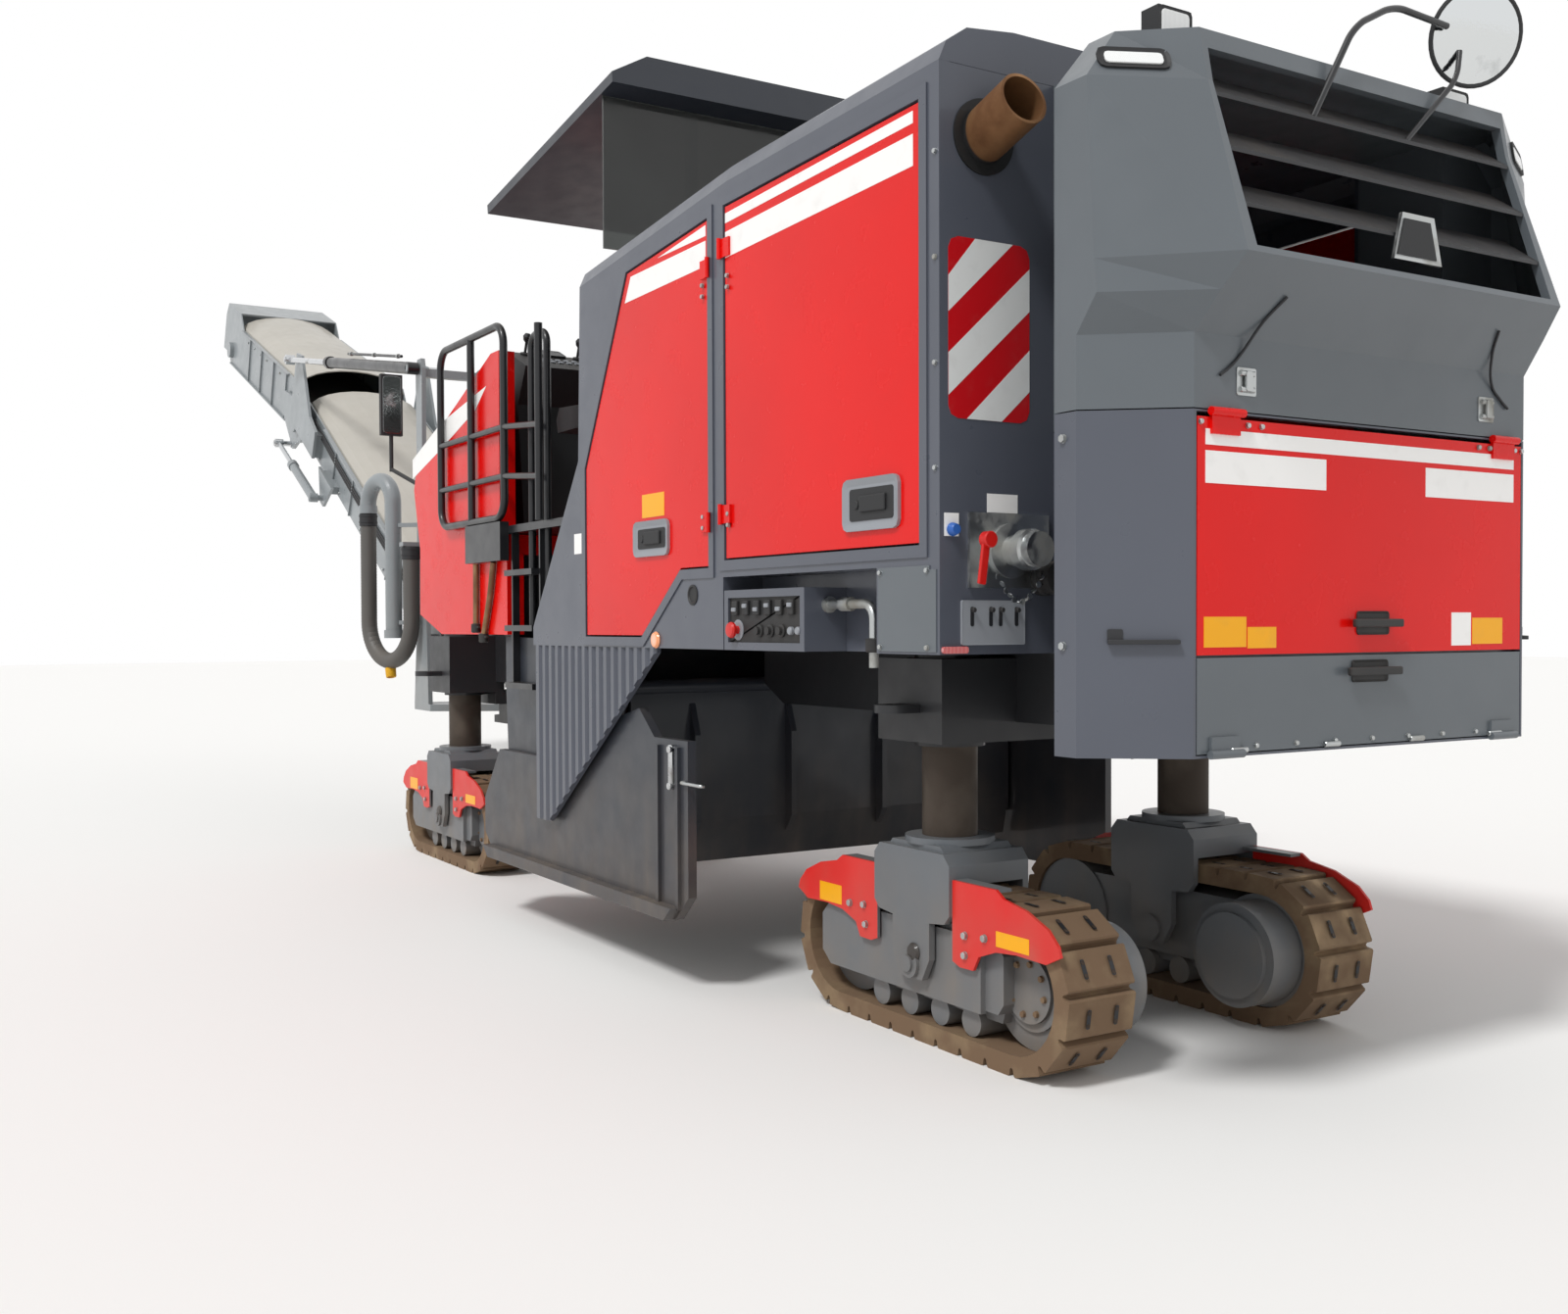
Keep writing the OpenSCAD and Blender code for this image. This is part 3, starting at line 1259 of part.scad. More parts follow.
// The rod with its eye and the pin through it, which ends beside the plate at y_seat
module ram_rod(a, b, y, d, start, y_seat) {
    dir = (b - a) / norm(b - a);
    from = a + dir * start;
    shaft_y(b[0], b[1], y - d * 0.45, y + d * 0.45, d);
    shaft_y(b[0], b[1], y_seat + seat_gap, y + d * 0.45 + 12, pin_d);
    rod([from[0], y, from[1]], [b[0], y, b[1]], d * 0.55);
}

mast_pin = [lift_x, mast_z];
lift_end = lower_point(lift_eye);
fold_start = lower_point(fold_seat);
fold_end = upper_point(fold_pin);
lift_span = norm(lift_end - mast_pin);
fold_span = norm(fold_end - fold_start);

module lift_barrels() {
    color(dark) place() both_sides() ram_barrel(mast_pin, lift_end, ram_y, lift_ram_d, lift_span - 1390);
}

module lift_rods() {
    color(steel) place() both_sides() ram_rod(mast_pin, lift_end, ram_y, lift_ram_d, lift_span - 2190, tall_y1);
}

module fold_barrels() {
    color(dark) place() both_sides() ram_barrel(fold_start, fold_end, ram_y, fold_ram_d, 830);
}

module fold_rods() {
    color(steel) place() both_sides() ram_rod(fold_start, fold_end, ram_y, fold_ram_d, fold_span - 725, ear_y1);
}

// Rear door and flap

hinge_d = 26;
rear_hinge = -hinge_d / 2 - seat_gap;

// A leaf on the rear unit, hung on an edge at hinge_z, from z0 to z1; side is +1 where it hangs from its top
module rear_leaf(z0, z1, hinge_z, side) {
    block([0, 14 - back_y, z0], [unit_t + 4, back_y - 14, z1]);
    edge = side > 0 ? z1 : z0;
    for (y = [-680, 680]) {
        shaft_y(rear_hinge, hinge_z, y - 70, y + 70, hinge_d);
        block([-10, y - 60, min(edge - side * 50, hinge_z - side * 5)],
            [1, y + 60, max(edge - side * 50, hinge_z - side * 5)]);
    }
}

module rear_door() { color(red) place() rear_leaf(flap_seam_z + 4, unit_seam_z - 20, unit_seam_z - 4, 1); }
module rear_flap() { color(slate) place() rear_leaf(unit_z + 12, flap_seam_z - 4, unit_z + 10, -1); }

main_frame();
engine_block();
drum_housing();
skirts();
hood_sides();
hood_cap();
rear_housing();
rear_hood();
outlet_blades();
exhaust_pipe();
side_controls();
water_fittings();
platform();
railings();
consoles();
front_tank();
mirrors();
work_lamps();
inner_conveyor();
extraction_hose();
door_left_rear();
door_left_front();
door_right_rear();
door_right_front();
rear_door();
rear_flap();
roof();
roof_window();
milling_drum();
side_plate_left();
side_plate_right();
scraper();
slewing_mast();
lower_flight();
lower_belt();
lower_cover();
upper_flight();
upper_belt();
upper_cover();
lift_barrels();
lift_rods();
fold_barrels();
fold_rods();
column_rear_left();
column_rear_right();
column_front_left();
column_front_right();
truck_rear_left();
truck_rear_right();
truck_front_left();
truck_front_right();
track_rear_left();
track_rear_right();
track_front_left();
track_front_right();
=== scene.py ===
"""Looks of the cold planer: the finish of every node, the suction hose, and fittings the solids leave out.

Places are millimetres from the rear door's plane, x forwards, y to the left, z up, as in the part's source.
"""
from math import cos, pi, radians, sin, tau

import bmesh
import bpy
from mathutils import Matrix, Vector
from mathutils.bvhtree import BVHTree


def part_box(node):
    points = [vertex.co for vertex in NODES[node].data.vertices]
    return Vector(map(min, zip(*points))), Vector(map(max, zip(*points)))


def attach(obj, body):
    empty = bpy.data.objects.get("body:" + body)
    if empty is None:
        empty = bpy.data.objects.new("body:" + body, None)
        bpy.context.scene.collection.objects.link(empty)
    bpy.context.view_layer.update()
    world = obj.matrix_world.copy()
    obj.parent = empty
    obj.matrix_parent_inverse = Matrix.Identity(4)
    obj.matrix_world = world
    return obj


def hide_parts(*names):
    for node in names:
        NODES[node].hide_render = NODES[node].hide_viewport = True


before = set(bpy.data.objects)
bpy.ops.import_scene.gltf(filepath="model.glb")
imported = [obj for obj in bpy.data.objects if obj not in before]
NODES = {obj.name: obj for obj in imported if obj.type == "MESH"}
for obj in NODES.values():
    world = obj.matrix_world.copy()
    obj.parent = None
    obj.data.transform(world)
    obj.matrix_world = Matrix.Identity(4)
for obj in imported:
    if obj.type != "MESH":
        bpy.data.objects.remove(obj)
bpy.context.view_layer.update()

# Places taken from the frame, and from the part's source
REAR_TRACK_X = 1405
track_low, track_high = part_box("track_rear_left")
BACK = (track_low.x + track_high.x) / 2 - REAR_TRACK_X / 1000
TRACKS = {"rear": (REAR_TRACK_X, 620), "front": (6560, 704)}
SIDES = (("left", 1), ("right", -1))
HALF_W = 1250
HOOD_REAR_X = 640
UNIT_Y = 1068
LIFT_X, LIFT_Z = 7700, 1450
LOWER_SLOPE = radians(29)
UPPER_SLOPE = radians(20.5)
LOWER_LEN = 4350
FOLD_V = -50
BEHIND, AHEAD, UP = Vector((-1, 0, 0)), Vector((1, 0, 0)), Vector((0, 0, 1))


def at(x, y, z):
    """A point of the machine in the frame's metres."""
    return Vector((BACK + x / 1000, y / 1000, z / 1000))


def on_flight(axis, slope, u, y, v):
    """A point of a flight: u along it from its axis, v square to it."""
    return axis + Vector((u * cos(slope) - v * sin(slope), y, u * sin(slope) + v * cos(slope))) / 1000


def lower(u, y, v):
    """A point of the lower flight."""
    return on_flight(at(LIFT_X, 0, LIFT_Z), LOWER_SLOPE, u, y, v)


def upper(u, y, v):
    """A point of the upper flight, whose axis is at the lower one's end."""
    return on_flight(lower(LOWER_LEN, 0, FOLD_V), UPPER_SLOPE, u, y, v)


# Camera, at the photograph's place and angle
IMAGE_W = 1600
SENSOR = 36
FOCAL_PX = 1541
CAMERA_AT = (-3155, 4145, 1567)
CAMERA_YAW = 31.446
CAMERA_PITCH = 1.22
CAMERA_ROLL = 0.22


def placed(name, data):
    """Puts an object of this data in the scene."""
    made = bpy.data.objects.new(name, data)
    bpy.context.scene.collection.objects.link(made)
    return made


def make_camera():
    """The camera that took the photograph."""
    data = bpy.data.cameras.new("photo_camera")
    data.sensor_width = SENSOR
    data.lens = FOCAL_PX / IMAGE_W * SENSOR
    data.clip_end = 200
    camera = placed("photo_camera", data)
    turn = Matrix.Rotation(radians(-90 - CAMERA_YAW), 4, "Z")
    nod = Matrix.Rotation(radians(90 - CAMERA_PITCH), 4, "X")
    roll = Matrix.Rotation(radians(-CAMERA_ROLL), 4, "Z")
    camera.matrix_world = Matrix.Translation(at(*CAMERA_AT)) @ turn @ nod @ roll
    bpy.context.scene.camera = camera


make_camera()


def keep(name, mesh, material, body="chassis", smooth=False):
    """Makes an object of a bmesh, on its body and with its finish."""
    bmesh.ops.recalc_face_normals(mesh, faces=mesh.faces)
    data = bpy.data.meshes.new(name)
    mesh.to_mesh(data)
    mesh.free()
    if smooth:
        data.shade_smooth()
        data.set_sharp_from_angle(angle=radians(35))
    data.materials.append(material)
    piece = placed(name, data)
    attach(piece, body)
    return piece


def slab(mesh, outline, depth, edge=0):
    """Adds a flat plate of an outline and the vector through its thickness, and gives the face it ends in."""
    face = mesh.faces.new([mesh.verts.new(p) for p in outline])
    grown = bmesh.ops.extrude_face_region(mesh, geom=[face])["geom"]
    face = [f for f in grown if isinstance(f, bmesh.types.BMFace)][0]
    top = list(face.verts)
    bmesh.ops.translate(mesh, verts=top, vec=depth)
    if edge:
        round_edges(mesh, top, edge)
    return face


def round_edges(mesh, verts, edge, segments=2):
    """Rounds all edges at these vertices over by a number of millimetres."""
    edges = {e for v in verts for e in v.link_edges}
    bmesh.ops.bevel(mesh, geom=list(edges), offset=edge / 1000, offset_type="OFFSET", affect="EDGES",
                    segments=segments, profile=0.5, material=-1, clamp_overlap=True)


def block(mesh, low, high, edge=3, turn=None):
    """Adds a block between two corners in millimetres, its edges rounded, turned about its middle."""
    a, b = at(*low), at(*high)
    made = bmesh.ops.create_cube(mesh, size=1)["verts"]
    bmesh.ops.scale(mesh, verts=made, vec=b - a)
    if turn:
        bmesh.ops.rotate(mesh, verts=made, cent=(0, 0, 0), matrix=turn)
    bmesh.ops.translate(mesh, verts=made, vec=(a + b) / 2)
    if edge:
        round_edges(mesh, made, edge)


def turned(mesh, base, axis, profile, steps=32):
    """Spins a profile of radius and reach, in millimetres, about an axis through a point."""
    axis = Vector(axis).normalized()
    side = axis.orthogonal().normalized()
    points = [mesh.verts.new(base + side * r / 1000 + axis * a / 1000) for r, a in profile]
    edges = [mesh.edges.new(pair) for pair in zip(points, points[1:])]
    made = set(points)
    before = set(mesh.verts)
    bmesh.ops.spin(mesh, geom=points + edges, cent=base, axis=axis, angle=2 * pi, steps=steps,
                   use_merge=True, use_duplicate=False)
    made |= set(mesh.verts) - before
    bmesh.ops.remove_doubles(mesh, verts=[v for v in made if v.is_valid], dist=1e-5)


def drum_of(r, length, edge=2):
    """Profile of a solid round bar with rounded ends."""
    return [(0, 0), (r - edge, 0), (r, edge), (r, length - edge), (r - edge, length), (0, length)]


# A bolt head's radius at its corners, from its width across the flats
CORNER_SHARE = 1 / 1.733
WASHER_SHARE = 0.62
WASHER_T = 2


def bolt(mesh, place, axis, across, high):
    """Adds a hexagon head on its washer, which is sunk 1 mm into what it sits on."""
    axis = Vector(axis).normalized()
    washer = across * WASHER_SHARE
    turned(mesh, place, axis, [(0, -1), (washer, -1), (washer, WASHER_T), (0, WASHER_T)], 12)
    corner = across * CORNER_SHARE / 1000
    head = bmesh.ops.create_cone(mesh, cap_ends=True, segments=6, radius1=corner, radius2=corner,
                                 depth=high / 1000)["verts"]
    bmesh.ops.rotate(mesh, verts=head, cent=(0, 0, 0), matrix=axis.to_track_quat("Z", "Y").to_matrix())
    bmesh.ops.translate(mesh, verts=head, vec=place + axis * (WASHER_T + high / 2) / 1000)
    round_edges(mesh, head, 1.2, 1)


def bolts(name, places, axis, across, body="chassis", material=None):
    """A row of bolt heads, each about half as high as it is wide."""
    mesh = bmesh.new()
    for place in places:
        bolt(mesh, place, axis, across, across * 0.48)
    return keep(name, mesh, material or zinc_steel, body)


def rounded(points, corner):
    """A route whose corners are cut back by a radius; each corner gives two points and their handles."""
    out = [(points[0], points[0], points[0])]
    for before, here, after in zip(points, points[1:], points[2:]):
        a, b = (before - here), (after - here)
        reach = min(corner / 1000, a.length * 0.49, b.length * 0.49)
        p, q = here + a.normalized() * reach, here + b.normalized() * reach
        out.append((p, p, p.lerp(here, 0.55)))
        out.append((q, q.lerp(here, 0.55), q))
    out.append((points[-1], points[-1], points[-1]))
    return out


def pipes(name, routes, d, material, corner=0, body="chassis"):
    """Round bars, tubes or hoses along routes; without a corner radius the route is one smooth line."""
    curve = bpy.data.curves.new(name, "CURVE")
    curve.dimensions = "3D"
    curve.bevel_depth = d / 2000
    curve.bevel_resolution = 4
    curve.use_fill_caps = True
    curve.resolution_u = 8
    for route in routes:
        knots = rounded(route, corner) if corner else [(place, place, place) for place in route]
        points = curve.splines.new("BEZIER").bezier_points
        points.add(len(knots) - 1)
        for point, knot in zip(points, knots):
            point.co, point.handle_left, point.handle_right = knot
            point.handle_left_type = point.handle_right_type = "FREE" if corner else "AUTO"
    curve.materials.append(material)
    piece = placed(name, curve)
    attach(piece, body)
    return piece


TREES = {}


def surface(node, start, towards):
    """The point of a node's skin that a line from a point meets first, and how that skin faces."""
    if node not in TREES:
        TREES[node] = BVHTree.FromObject(NODES[node], bpy.context.evaluated_depsgraph_get())
    place, normal, _, _ = TREES[node].ray_cast(start, Vector(towards))
    return place, normal


FILM_T = 1.2


def side_film(name, outlines, side, material, y=HALF_W, body="chassis"):
    """Film on a left or right side; each outline is of x and z."""
    mesh = bmesh.new()
    for outline in outlines:
        slab(mesh, [at(x, side * y, z) for x, z in outline], Vector((0, side * FILM_T / 1000, 0)))
    return keep(name, mesh, material, body)


def back_film(name, outlines, material, x=0, thick=FILM_T, body="chassis"):
    """Film on a face that looks backwards; each outline is of y and z."""
    mesh = bmesh.new()
    for outline in outlines:
        slab(mesh, [at(x, y, z) for y, z in outline], Vector((-thick / 1000, 0, 0)))
    return keep(name, mesh, material, body)


def oblong(a, b, low, high, corner=0):
    """Outline of a rectangle, its corners cut in two steps when they are rounded."""
    if not corner:
        return [(a, low), (b, low), (b, high), (a, high)]
    c, d = corner, corner * 0.3
    return [(a + c, low), (b - c, low), (b - d, low + d), (b, low + c), (b, high - c), (b - d, high - d),
            (b - c, high), (a + c, high), (a + d, high - d), (a, high - c), (a, low + c), (a + d, low + d)]


def band(a, b, high, low):
    """Four corners of a stripe between two abscissas, with its upper and lower edge at each."""
    return [(a, high[0]), (b, high[1]), (b, low[1]), (a, low[0])]


# The output of a Mix node that is a colour
MIXED_COLOUR = 2


def linear(colour):
    """An sRGB hex colour as linear numbers."""
    parts = [int(colour[i:i + 2], 16) / 255 for i in (1, 3, 5)]
    return tuple(c / 12.92 if c < 0.04045 else ((c + 0.055) / 1.055) ** 2.4 for c in parts) + (1,)


def add(tree, kind, *inputs, out=0, **named):
    """Adds a node and gives its output; inputs are values or outputs, in order or by name."""
    node = tree.nodes.new("ShaderNode" + kind)
    sockets = {socket.identifier: socket for socket in node.inputs}
    pairs = list(zip(node.inputs, inputs))
    for name, value in named.items():
        if name in sockets:
            pairs.append((sockets[name], value))
        else:
            setattr(node, name, value)
    for socket, value in pairs:
        if isinstance(value, bpy.types.NodeSocket):
            tree.links.new(value, socket)
        else:
            socket.default_value = value
    return node.outputs[out] if node.outputs else None


def start(name, **shader):
    """A material with its shader's own sockets set, and the object's coordinates in metres."""
    material = bpy.data.materials.new(name)
    material.use_nodes = True
    tree = material.node_tree
    bsdf = tree.nodes["Principled BSDF"].inputs
    for socket, value in shader.items():
        bsdf[socket.replace("_", " ")].default_value = value
    return material, tree, bsdf, add(tree, "TexCoord", out="Object")


# Colour and texture of road dust; textures are counted per metre, so 3.5 makes patches of about 290 mm
ROAD_DUST = "#8d7d6a"
DUST_PATCHES = 3.5
DUST_STREAKS = 9
STREAK_STRETCH = (1, 1, 0.08)
DUST_FLOOR = 0.1


def dirt_mask(tree, coords, amount, top):
    """Road dust that thins out with height, settles on what faces up, and breaks into patches and streaks."""
    height = add(tree, "SeparateXYZ", coords, out="Z")
    low = add(tree, "MapRange", height, top, DUST_FLOOR, 0, 1)
    normal = add(tree, "NewGeometry", out="Normal")
    facing = add(tree, "SeparateXYZ", normal, out="Z")
    ledge = add(tree, "MapRange", facing, 0.3, 1, 0, 0.4)
    cloud = add(tree, "TexNoise", Vector=coords, Scale=DUST_PATCHES, Detail=6)
    patches = add(tree, "MapRange", cloud, 0.35, 0.7, 0.25, 1)
    tall = add(tree, "Mapping", Vector=coords, Scale=STREAK_STRETCH)
    run = add(tree, "TexNoise", Vector=tall, Scale=DUST_STREAKS, Detail=4)
    streaks = add(tree, "MapRange", run, 0.4, 0.75, 0.6, 1.2)
    settled = add(tree, "Math", low, ledge)
    broken = add(tree, "Math", patches, streaks, operation="MULTIPLY")
    dust = add(tree, "Math", settled, broken, operation="MULTIPLY")
    return add(tree, "Math", dust, amount, operation="MULTIPLY")


def blended(tree, share, first, second):
    """Lays a second colour over a first one, such as dust over paint."""
    return add(tree, "Mix", Factor_Float=share, A_Color=first, B_Color=second, data_type="RGBA",
               out=MIXED_COLOUR)


def grained(tree, bsdf, height, strength, depth):
    """Raises the surface along a texture; the depth is in metres."""
    bump = add(tree, "Bump", Height=height, Strength=strength, Distance=depth)
    tree.links.new(bump, bsdf["Normal"])


# Orange peel is 2 mm wide, drawn at 12 mm so that it shows
ORANGE_PEEL = 80
SIGNAL_RED = "#dc0c08"
FORK_HALF = 236


def guard_paint(tree, coords, paint, reach, middle):
    """Sprays red what lies this far from the machine's middle, apart from the fork at the track's middle."""
    side = add(tree, "SeparateXYZ", coords, out="Y")
    across = add(tree, "Math", side, operation="ABSOLUTE")
    near, far = reach[0] / 1000, reach[1] / 1000
    inside = add(tree, "Math", across, (near + far) / 2, (far - near) / 2, operation="COMPARE")
    ahead = add(tree, "SeparateXYZ", coords, out="X")
    fork = add(tree, "Math", ahead, BACK + middle / 1000, FORK_HALF / 1000, operation="COMPARE")
    guard = add(tree, "Math", inside, fork, operation="SUBTRACT")
    return blended(tree, guard, paint, linear(SIGNAL_RED))


def enamel(name, colour, rough=0.32, dust=0.5, top=1.4, coat=0.2, gloss=0.4, guard=None):
    """Sprayed enamel on sheet steel: smooth gloss, faint orange peel, and dust that dulls its lower parts."""
    shader = {"Coat_Weight": coat, "Coat_Roughness": 0.12, "Specular_IOR_Level": gloss}
    material, tree, bsdf, coords = start(name, **shader)
    cloud = add(tree, "TexNoise", Vector=coords, Scale=1.3, Detail=3)
    shade = add(tree, "MapRange", cloud, 0.3, 0.7, 0.94, 1.06)
    paint = linear(colour)
    if guard:
        paint = guard_paint(tree, coords, paint, *guard)
    base = add(tree, "HueSaturation", Value=shade, Color=paint)
    mask = dirt_mask(tree, coords, dust, top)
    tree.links.new(blended(tree, mask, base, linear(ROAD_DUST)), bsdf["Base Color"])
    smear = add(tree, "TexNoise", Vector=coords, Scale=9, Detail=5)
    grime = add(tree, "MapRange", smear, 0.3, 0.7, rough - 0.05, rough + 0.08)
    duller = add(tree, "Math", mask, 0.4, grime, operation="MULTIPLY_ADD")
    tree.links.new(duller, bsdf["Roughness"])
    peel = add(tree, "TexNoise", Vector=coords, Scale=ORANGE_PEEL, Detail=2)
    grained(tree, bsdf, peel, 0.05, 0.002)
    return material


def bare_metal(name, colour, stain, rough=0.4, cover=0.5, scale=6.0, black_span=None):
    """Bare steel with brown or grey staining in patches: bright where it is rubbed, dull where it is stained.

    The last argument gives the two places along the machine between which the metal turns black; forward of
    them it is near black and not metallic.
    """
    material, tree, bsdf, coords = start(name)
    cloud = add(tree, "TexNoise", Vector=coords, Scale=scale, Detail=8)
    patches = add(tree, "MapRange", cloud, 0.62 - cover * 0.4, 0.78 - cover * 0.3, 0, 1)
    tint = blended(tree, patches, linear(colour), linear(stain))
    metal = add(tree, "MapRange", patches, 0, 1, 1, 0.15)
    if black_span:
        ahead = add(tree, "SeparateXYZ", coords, out="X")
        black = add(tree, "MapRange", ahead, *(BACK + x / 1000 for x in black_span), 0, 1)
        tint = blended(tree, black, tint, linear("#0d0d0e"))
        metal = add(tree, "MapRange", black, 0, 1, 0.6, 0)
    tree.links.new(tint, bsdf["Base Color"])
    tree.links.new(metal, bsdf["Metallic"])
    dull = add(tree, "MapRange", patches, 0, 1, rough, min(rough + 0.4, 0.95))
    tree.links.new(dull, bsdf["Roughness"])
    scale_marks = add(tree, "TexNoise", Vector=coords, Scale=scale * 14, Detail=4)
    grained(tree, bsdf, scale_marks, 0.25, 0.002)
    return material


def moulded(name, colour, rough=0.6, dust=0.25):
    """Moulded plastic or rubber: an even grain of 8 mm, coarser than the real one, and a broad soft gloss."""
    material, tree, bsdf, coords = start(name)
    mask = dirt_mask(tree, coords, dust, 2.0)
    tree.links.new(blended(tree, mask, linear(colour), linear(ROAD_DUST)), bsdf["Base Color"])
    tree.links.new(add(tree, "MapRange", mask, 0, 1, rough, 0.9), bsdf["Roughness"])
    grain = add(tree, "TexNoise", Vector=coords, Scale=120, Detail=3)
    grained(tree, bsdf, grain, 0.3, 0.0008)
    return material


def film(name, colour, rough=0.3):
    """Self-adhesive vinyl film: an even satin colour with faint scuffs."""
    material, tree, bsdf, coords = start(name, Specular_IOR_Level=0.35)
    cloud = add(tree, "TexNoise", Vector=coords, Scale=14, Detail=6)
    scuff = add(tree, "MapRange", cloud, 0.55, 0.75, 0, 0.08)
    tree.links.new(blended(tree, scuff, linear(colour), linear("#77726c")), bsdf["Base Color"])
    tree.links.new(add(tree, "MapRange", scuff, 0, 1, rough, 0.9), bsdf["Roughness"])
    return material


def pane(name, colour, rough=0.05):
    """Tinted acrylic pane: dark and see-through, with a hard clear gloss and a little dust."""
    material, tree, bsdf, coords = start(name, IOR=1.49, Transmission_Weight=0.75)
    haze = add(tree, "TexNoise", Vector=coords, Scale=5, Detail=6)
    tree.links.new(add(tree, "MapRange", haze, 0.4, 0.8, rough, rough + 0.25), bsdf["Roughness"])
    cloud = add(tree, "TexNoise", Vector=coords, Scale=2, Detail=3)
    tree.links.new(blended(tree, cloud, linear(colour), linear("#565a58")), bsdf["Base Color"])
    return material


def lens(name, colour):
    """Lamp lens: clear or tinted plastic moulded in fine vertical ribs, with pale stripes painted along them
    as highlights.
    """
    material, tree, bsdf, coords = start(name, Roughness=0.12, Coat_Weight=0.6)
    ribs = add(tree, "TexWave", Vector=coords, Scale=60, out="Fac", bands_direction="Y")
    # Painted highlight: the base colour turns towards white along each rib.
    bright = add(tree, "MapRange", ribs, 0, 1, 0, 0.35)
    tree.links.new(blended(tree, bright, linear(colour), linear("#ffffff")), bsdf["Base Color"])
    grained(tree, bsdf, ribs, 0.4, 0.002)
    return material


slate_enamel = enamel("slate_enamel_sheet", "#51555f", top=0.9, dust=0.3)
grey_enamel = enamel("grey_enamel_sheet", "#5d6368", top=0.9, rough=0.36, dust=0.3)
pale_enamel = enamel("pale_grey_enamel_steel", "#878d90", dust=0.4, top=2.4)
cover_enamel = enamel("dusty_pale_cover_sheet", "#b3afa6", dust=0.35, top=2.0, rough=0.5)
red_enamel = enamel("signal_red_enamel_sheet", SIGNAL_RED, rough=0.22, top=1.0, dust=0.15, coat=0.1,
                    gloss=0.22)
black_enamel = enamel("black_enamel_steel", "#1c1d20", dust=0.45, top=1.3)
plate_enamel = enamel("blue_black_enamel_plate", "#2c3038", top=1.1, rough=0.42)
frame_enamel = enamel("charcoal_enamel_frame", "#232427", dust=0.35, top=1.2, rough=0.5)
chain_steel = bare_metal("dusty_chain_steel", "#a38d70", "#77604a", rough=0.55, cover=0.9, scale=5)
link_steel = bare_metal("dark_link_steel", "#5b5047", "#3b3028", rough=0.5, cover=0.8)
drum_steel = bare_metal("worn_drum_steel", "#8a8680", "#5d4a3c", rough=0.45, cover=0.7)
column_steel = bare_metal("oily_column_steel", "#5f564d", "#40362d", rough=0.35, cover=0.8, scale=3)
# Forward of 620 mm the exhaust pipe turns near black.
exhaust_steel = bare_metal("heat_stained_exhaust_steel", "#97704b", "#6d4a2e", rough=0.38, cover=0.7, scale=4,
                           black_span=(612, 620))
rod_chrome = bare_metal("hard_chromed_rod", "#c8cacc", "#7a7672", rough=0.12, cover=0.15)
zinc_steel = bare_metal("zinc_plated_steel", "#b9bcbc", "#8a8880", rough=0.3, cover=0.35)
pipe_steel = bare_metal("stained_pipe_steel", "#9a7b5c", "#6f5136", cover=0.7)
mirror_glass = bare_metal("silvered_mirror_glass", "#d9dcdd", "#b9bcbd", rough=0.03, cover=0)
black_rubber = moulded("black_hose_rubber", "#202124")
belt_rubber = moulded("dusty_belt_rubber", "#2b2b2c", rough=0.8, dust=0.6)
grey_rubber = moulded("grey_suction_hose_rubber", "#54524f", rough=0.5, dust=0.3)
black_plastic = moulded("grained_black_plastic", "#1d1e20")
grey_plastic = moulded("pale_grey_plastic", "#8c9096", rough=0.45, dust=0.1)
red_plastic = moulded("red_switch_plastic", "#c8150f", rough=0.35, dust=0.05)
blue_plastic = moulded("blue_knob_plastic", "#2a5fb0", rough=0.35, dust=0.05)
yellow_sleeve = moulded("yellow_hose_sleeve", "#e0a800", rough=0.5, dust=0.2)
white_film = film("white_vinyl_film", "#f4f3f1")
yellow_film = film("yellow_label_film", "#f5ac00")
red_film = film("red_reflective_film", "#c2141c", rough=0.22)
silver_film = film("silver_reflective_film", "#dfe1e0", rough=0.22)
# Black film: the console screen's own colour, and painted shade in the valve and pad slots.
black_film_and_slot_shade = film("black_film_and_painted_slot_shade", "#222326", rough=0.4)
window_pane = pane("smoked_acrylic_pane", "#3a3d3b")
amber_lens = lens("amber_reflector_lens", "#ff8a00")
red_lens = lens("red_lamp_lens", "#d0100c")
clear_lens = lens("clear_lamp_lens", "#e9ebea")

# The nodes that each finish goes on; the tracks, trucks, columns and doors follow from their names
FINISHES = {
    frame_enamel: "main_frame outlet_blades inner_conveyor",
    slate_enamel: "skirts hood_sides hood_cap rear_housing side_controls",
    plate_enamel: "drum_housing roof scraper side_plate_left side_plate_right",
    black_enamel: "engine_block platform railings lift_barrels",
    grey_enamel: "rear_hood rear_flap",
    red_enamel: "front_tank rear_door",
    pale_enamel: "slewing_mast lower_flight upper_flight fold_barrels",
    cover_enamel: "lower_cover upper_cover",
    black_plastic: "consoles mirrors work_lamps",
    belt_rubber: "lower_belt upper_belt",
    rod_chrome: "lift_rods fold_rods",
    exhaust_steel: "exhaust_pipe",
    zinc_steel: "water_fittings",
    black_rubber: "extraction_hose",
    window_pane: "roof_window",
    drum_steel: "milling_drum",
}


def finish_nodes():
    """Gives every node its finish through its slots."""
    finishes = {node: finish for finish, names in FINISHES.items() for node in names.split()}
    for end, (x, y) in TRACKS.items():
        truck_enamel = enamel(f"dusty_grey_casting_{end}", "#63686d", dust=0.6, top=0.8, rough=0.45,
                              guard=([y + reach for reach in GUARD_REACH], x))
        for side, _ in SIDES:
            finishes[f"door_{side}_{end}"] = red_enamel
            finishes[f"column_{end}_{side}"] = column_steel
            finishes[f"truck_{end}_{side}"] = truck_enamel
            finishes[f"track_{end}_{side}"] = chain_steel
    for name, finish in finishes.items():
        for place in NODES[name].material_slots:
            place.material = finish


# The guards stand out past the fork's cheeks on each truck
GUARD_REACH = (159, 173)
finish_nodes()


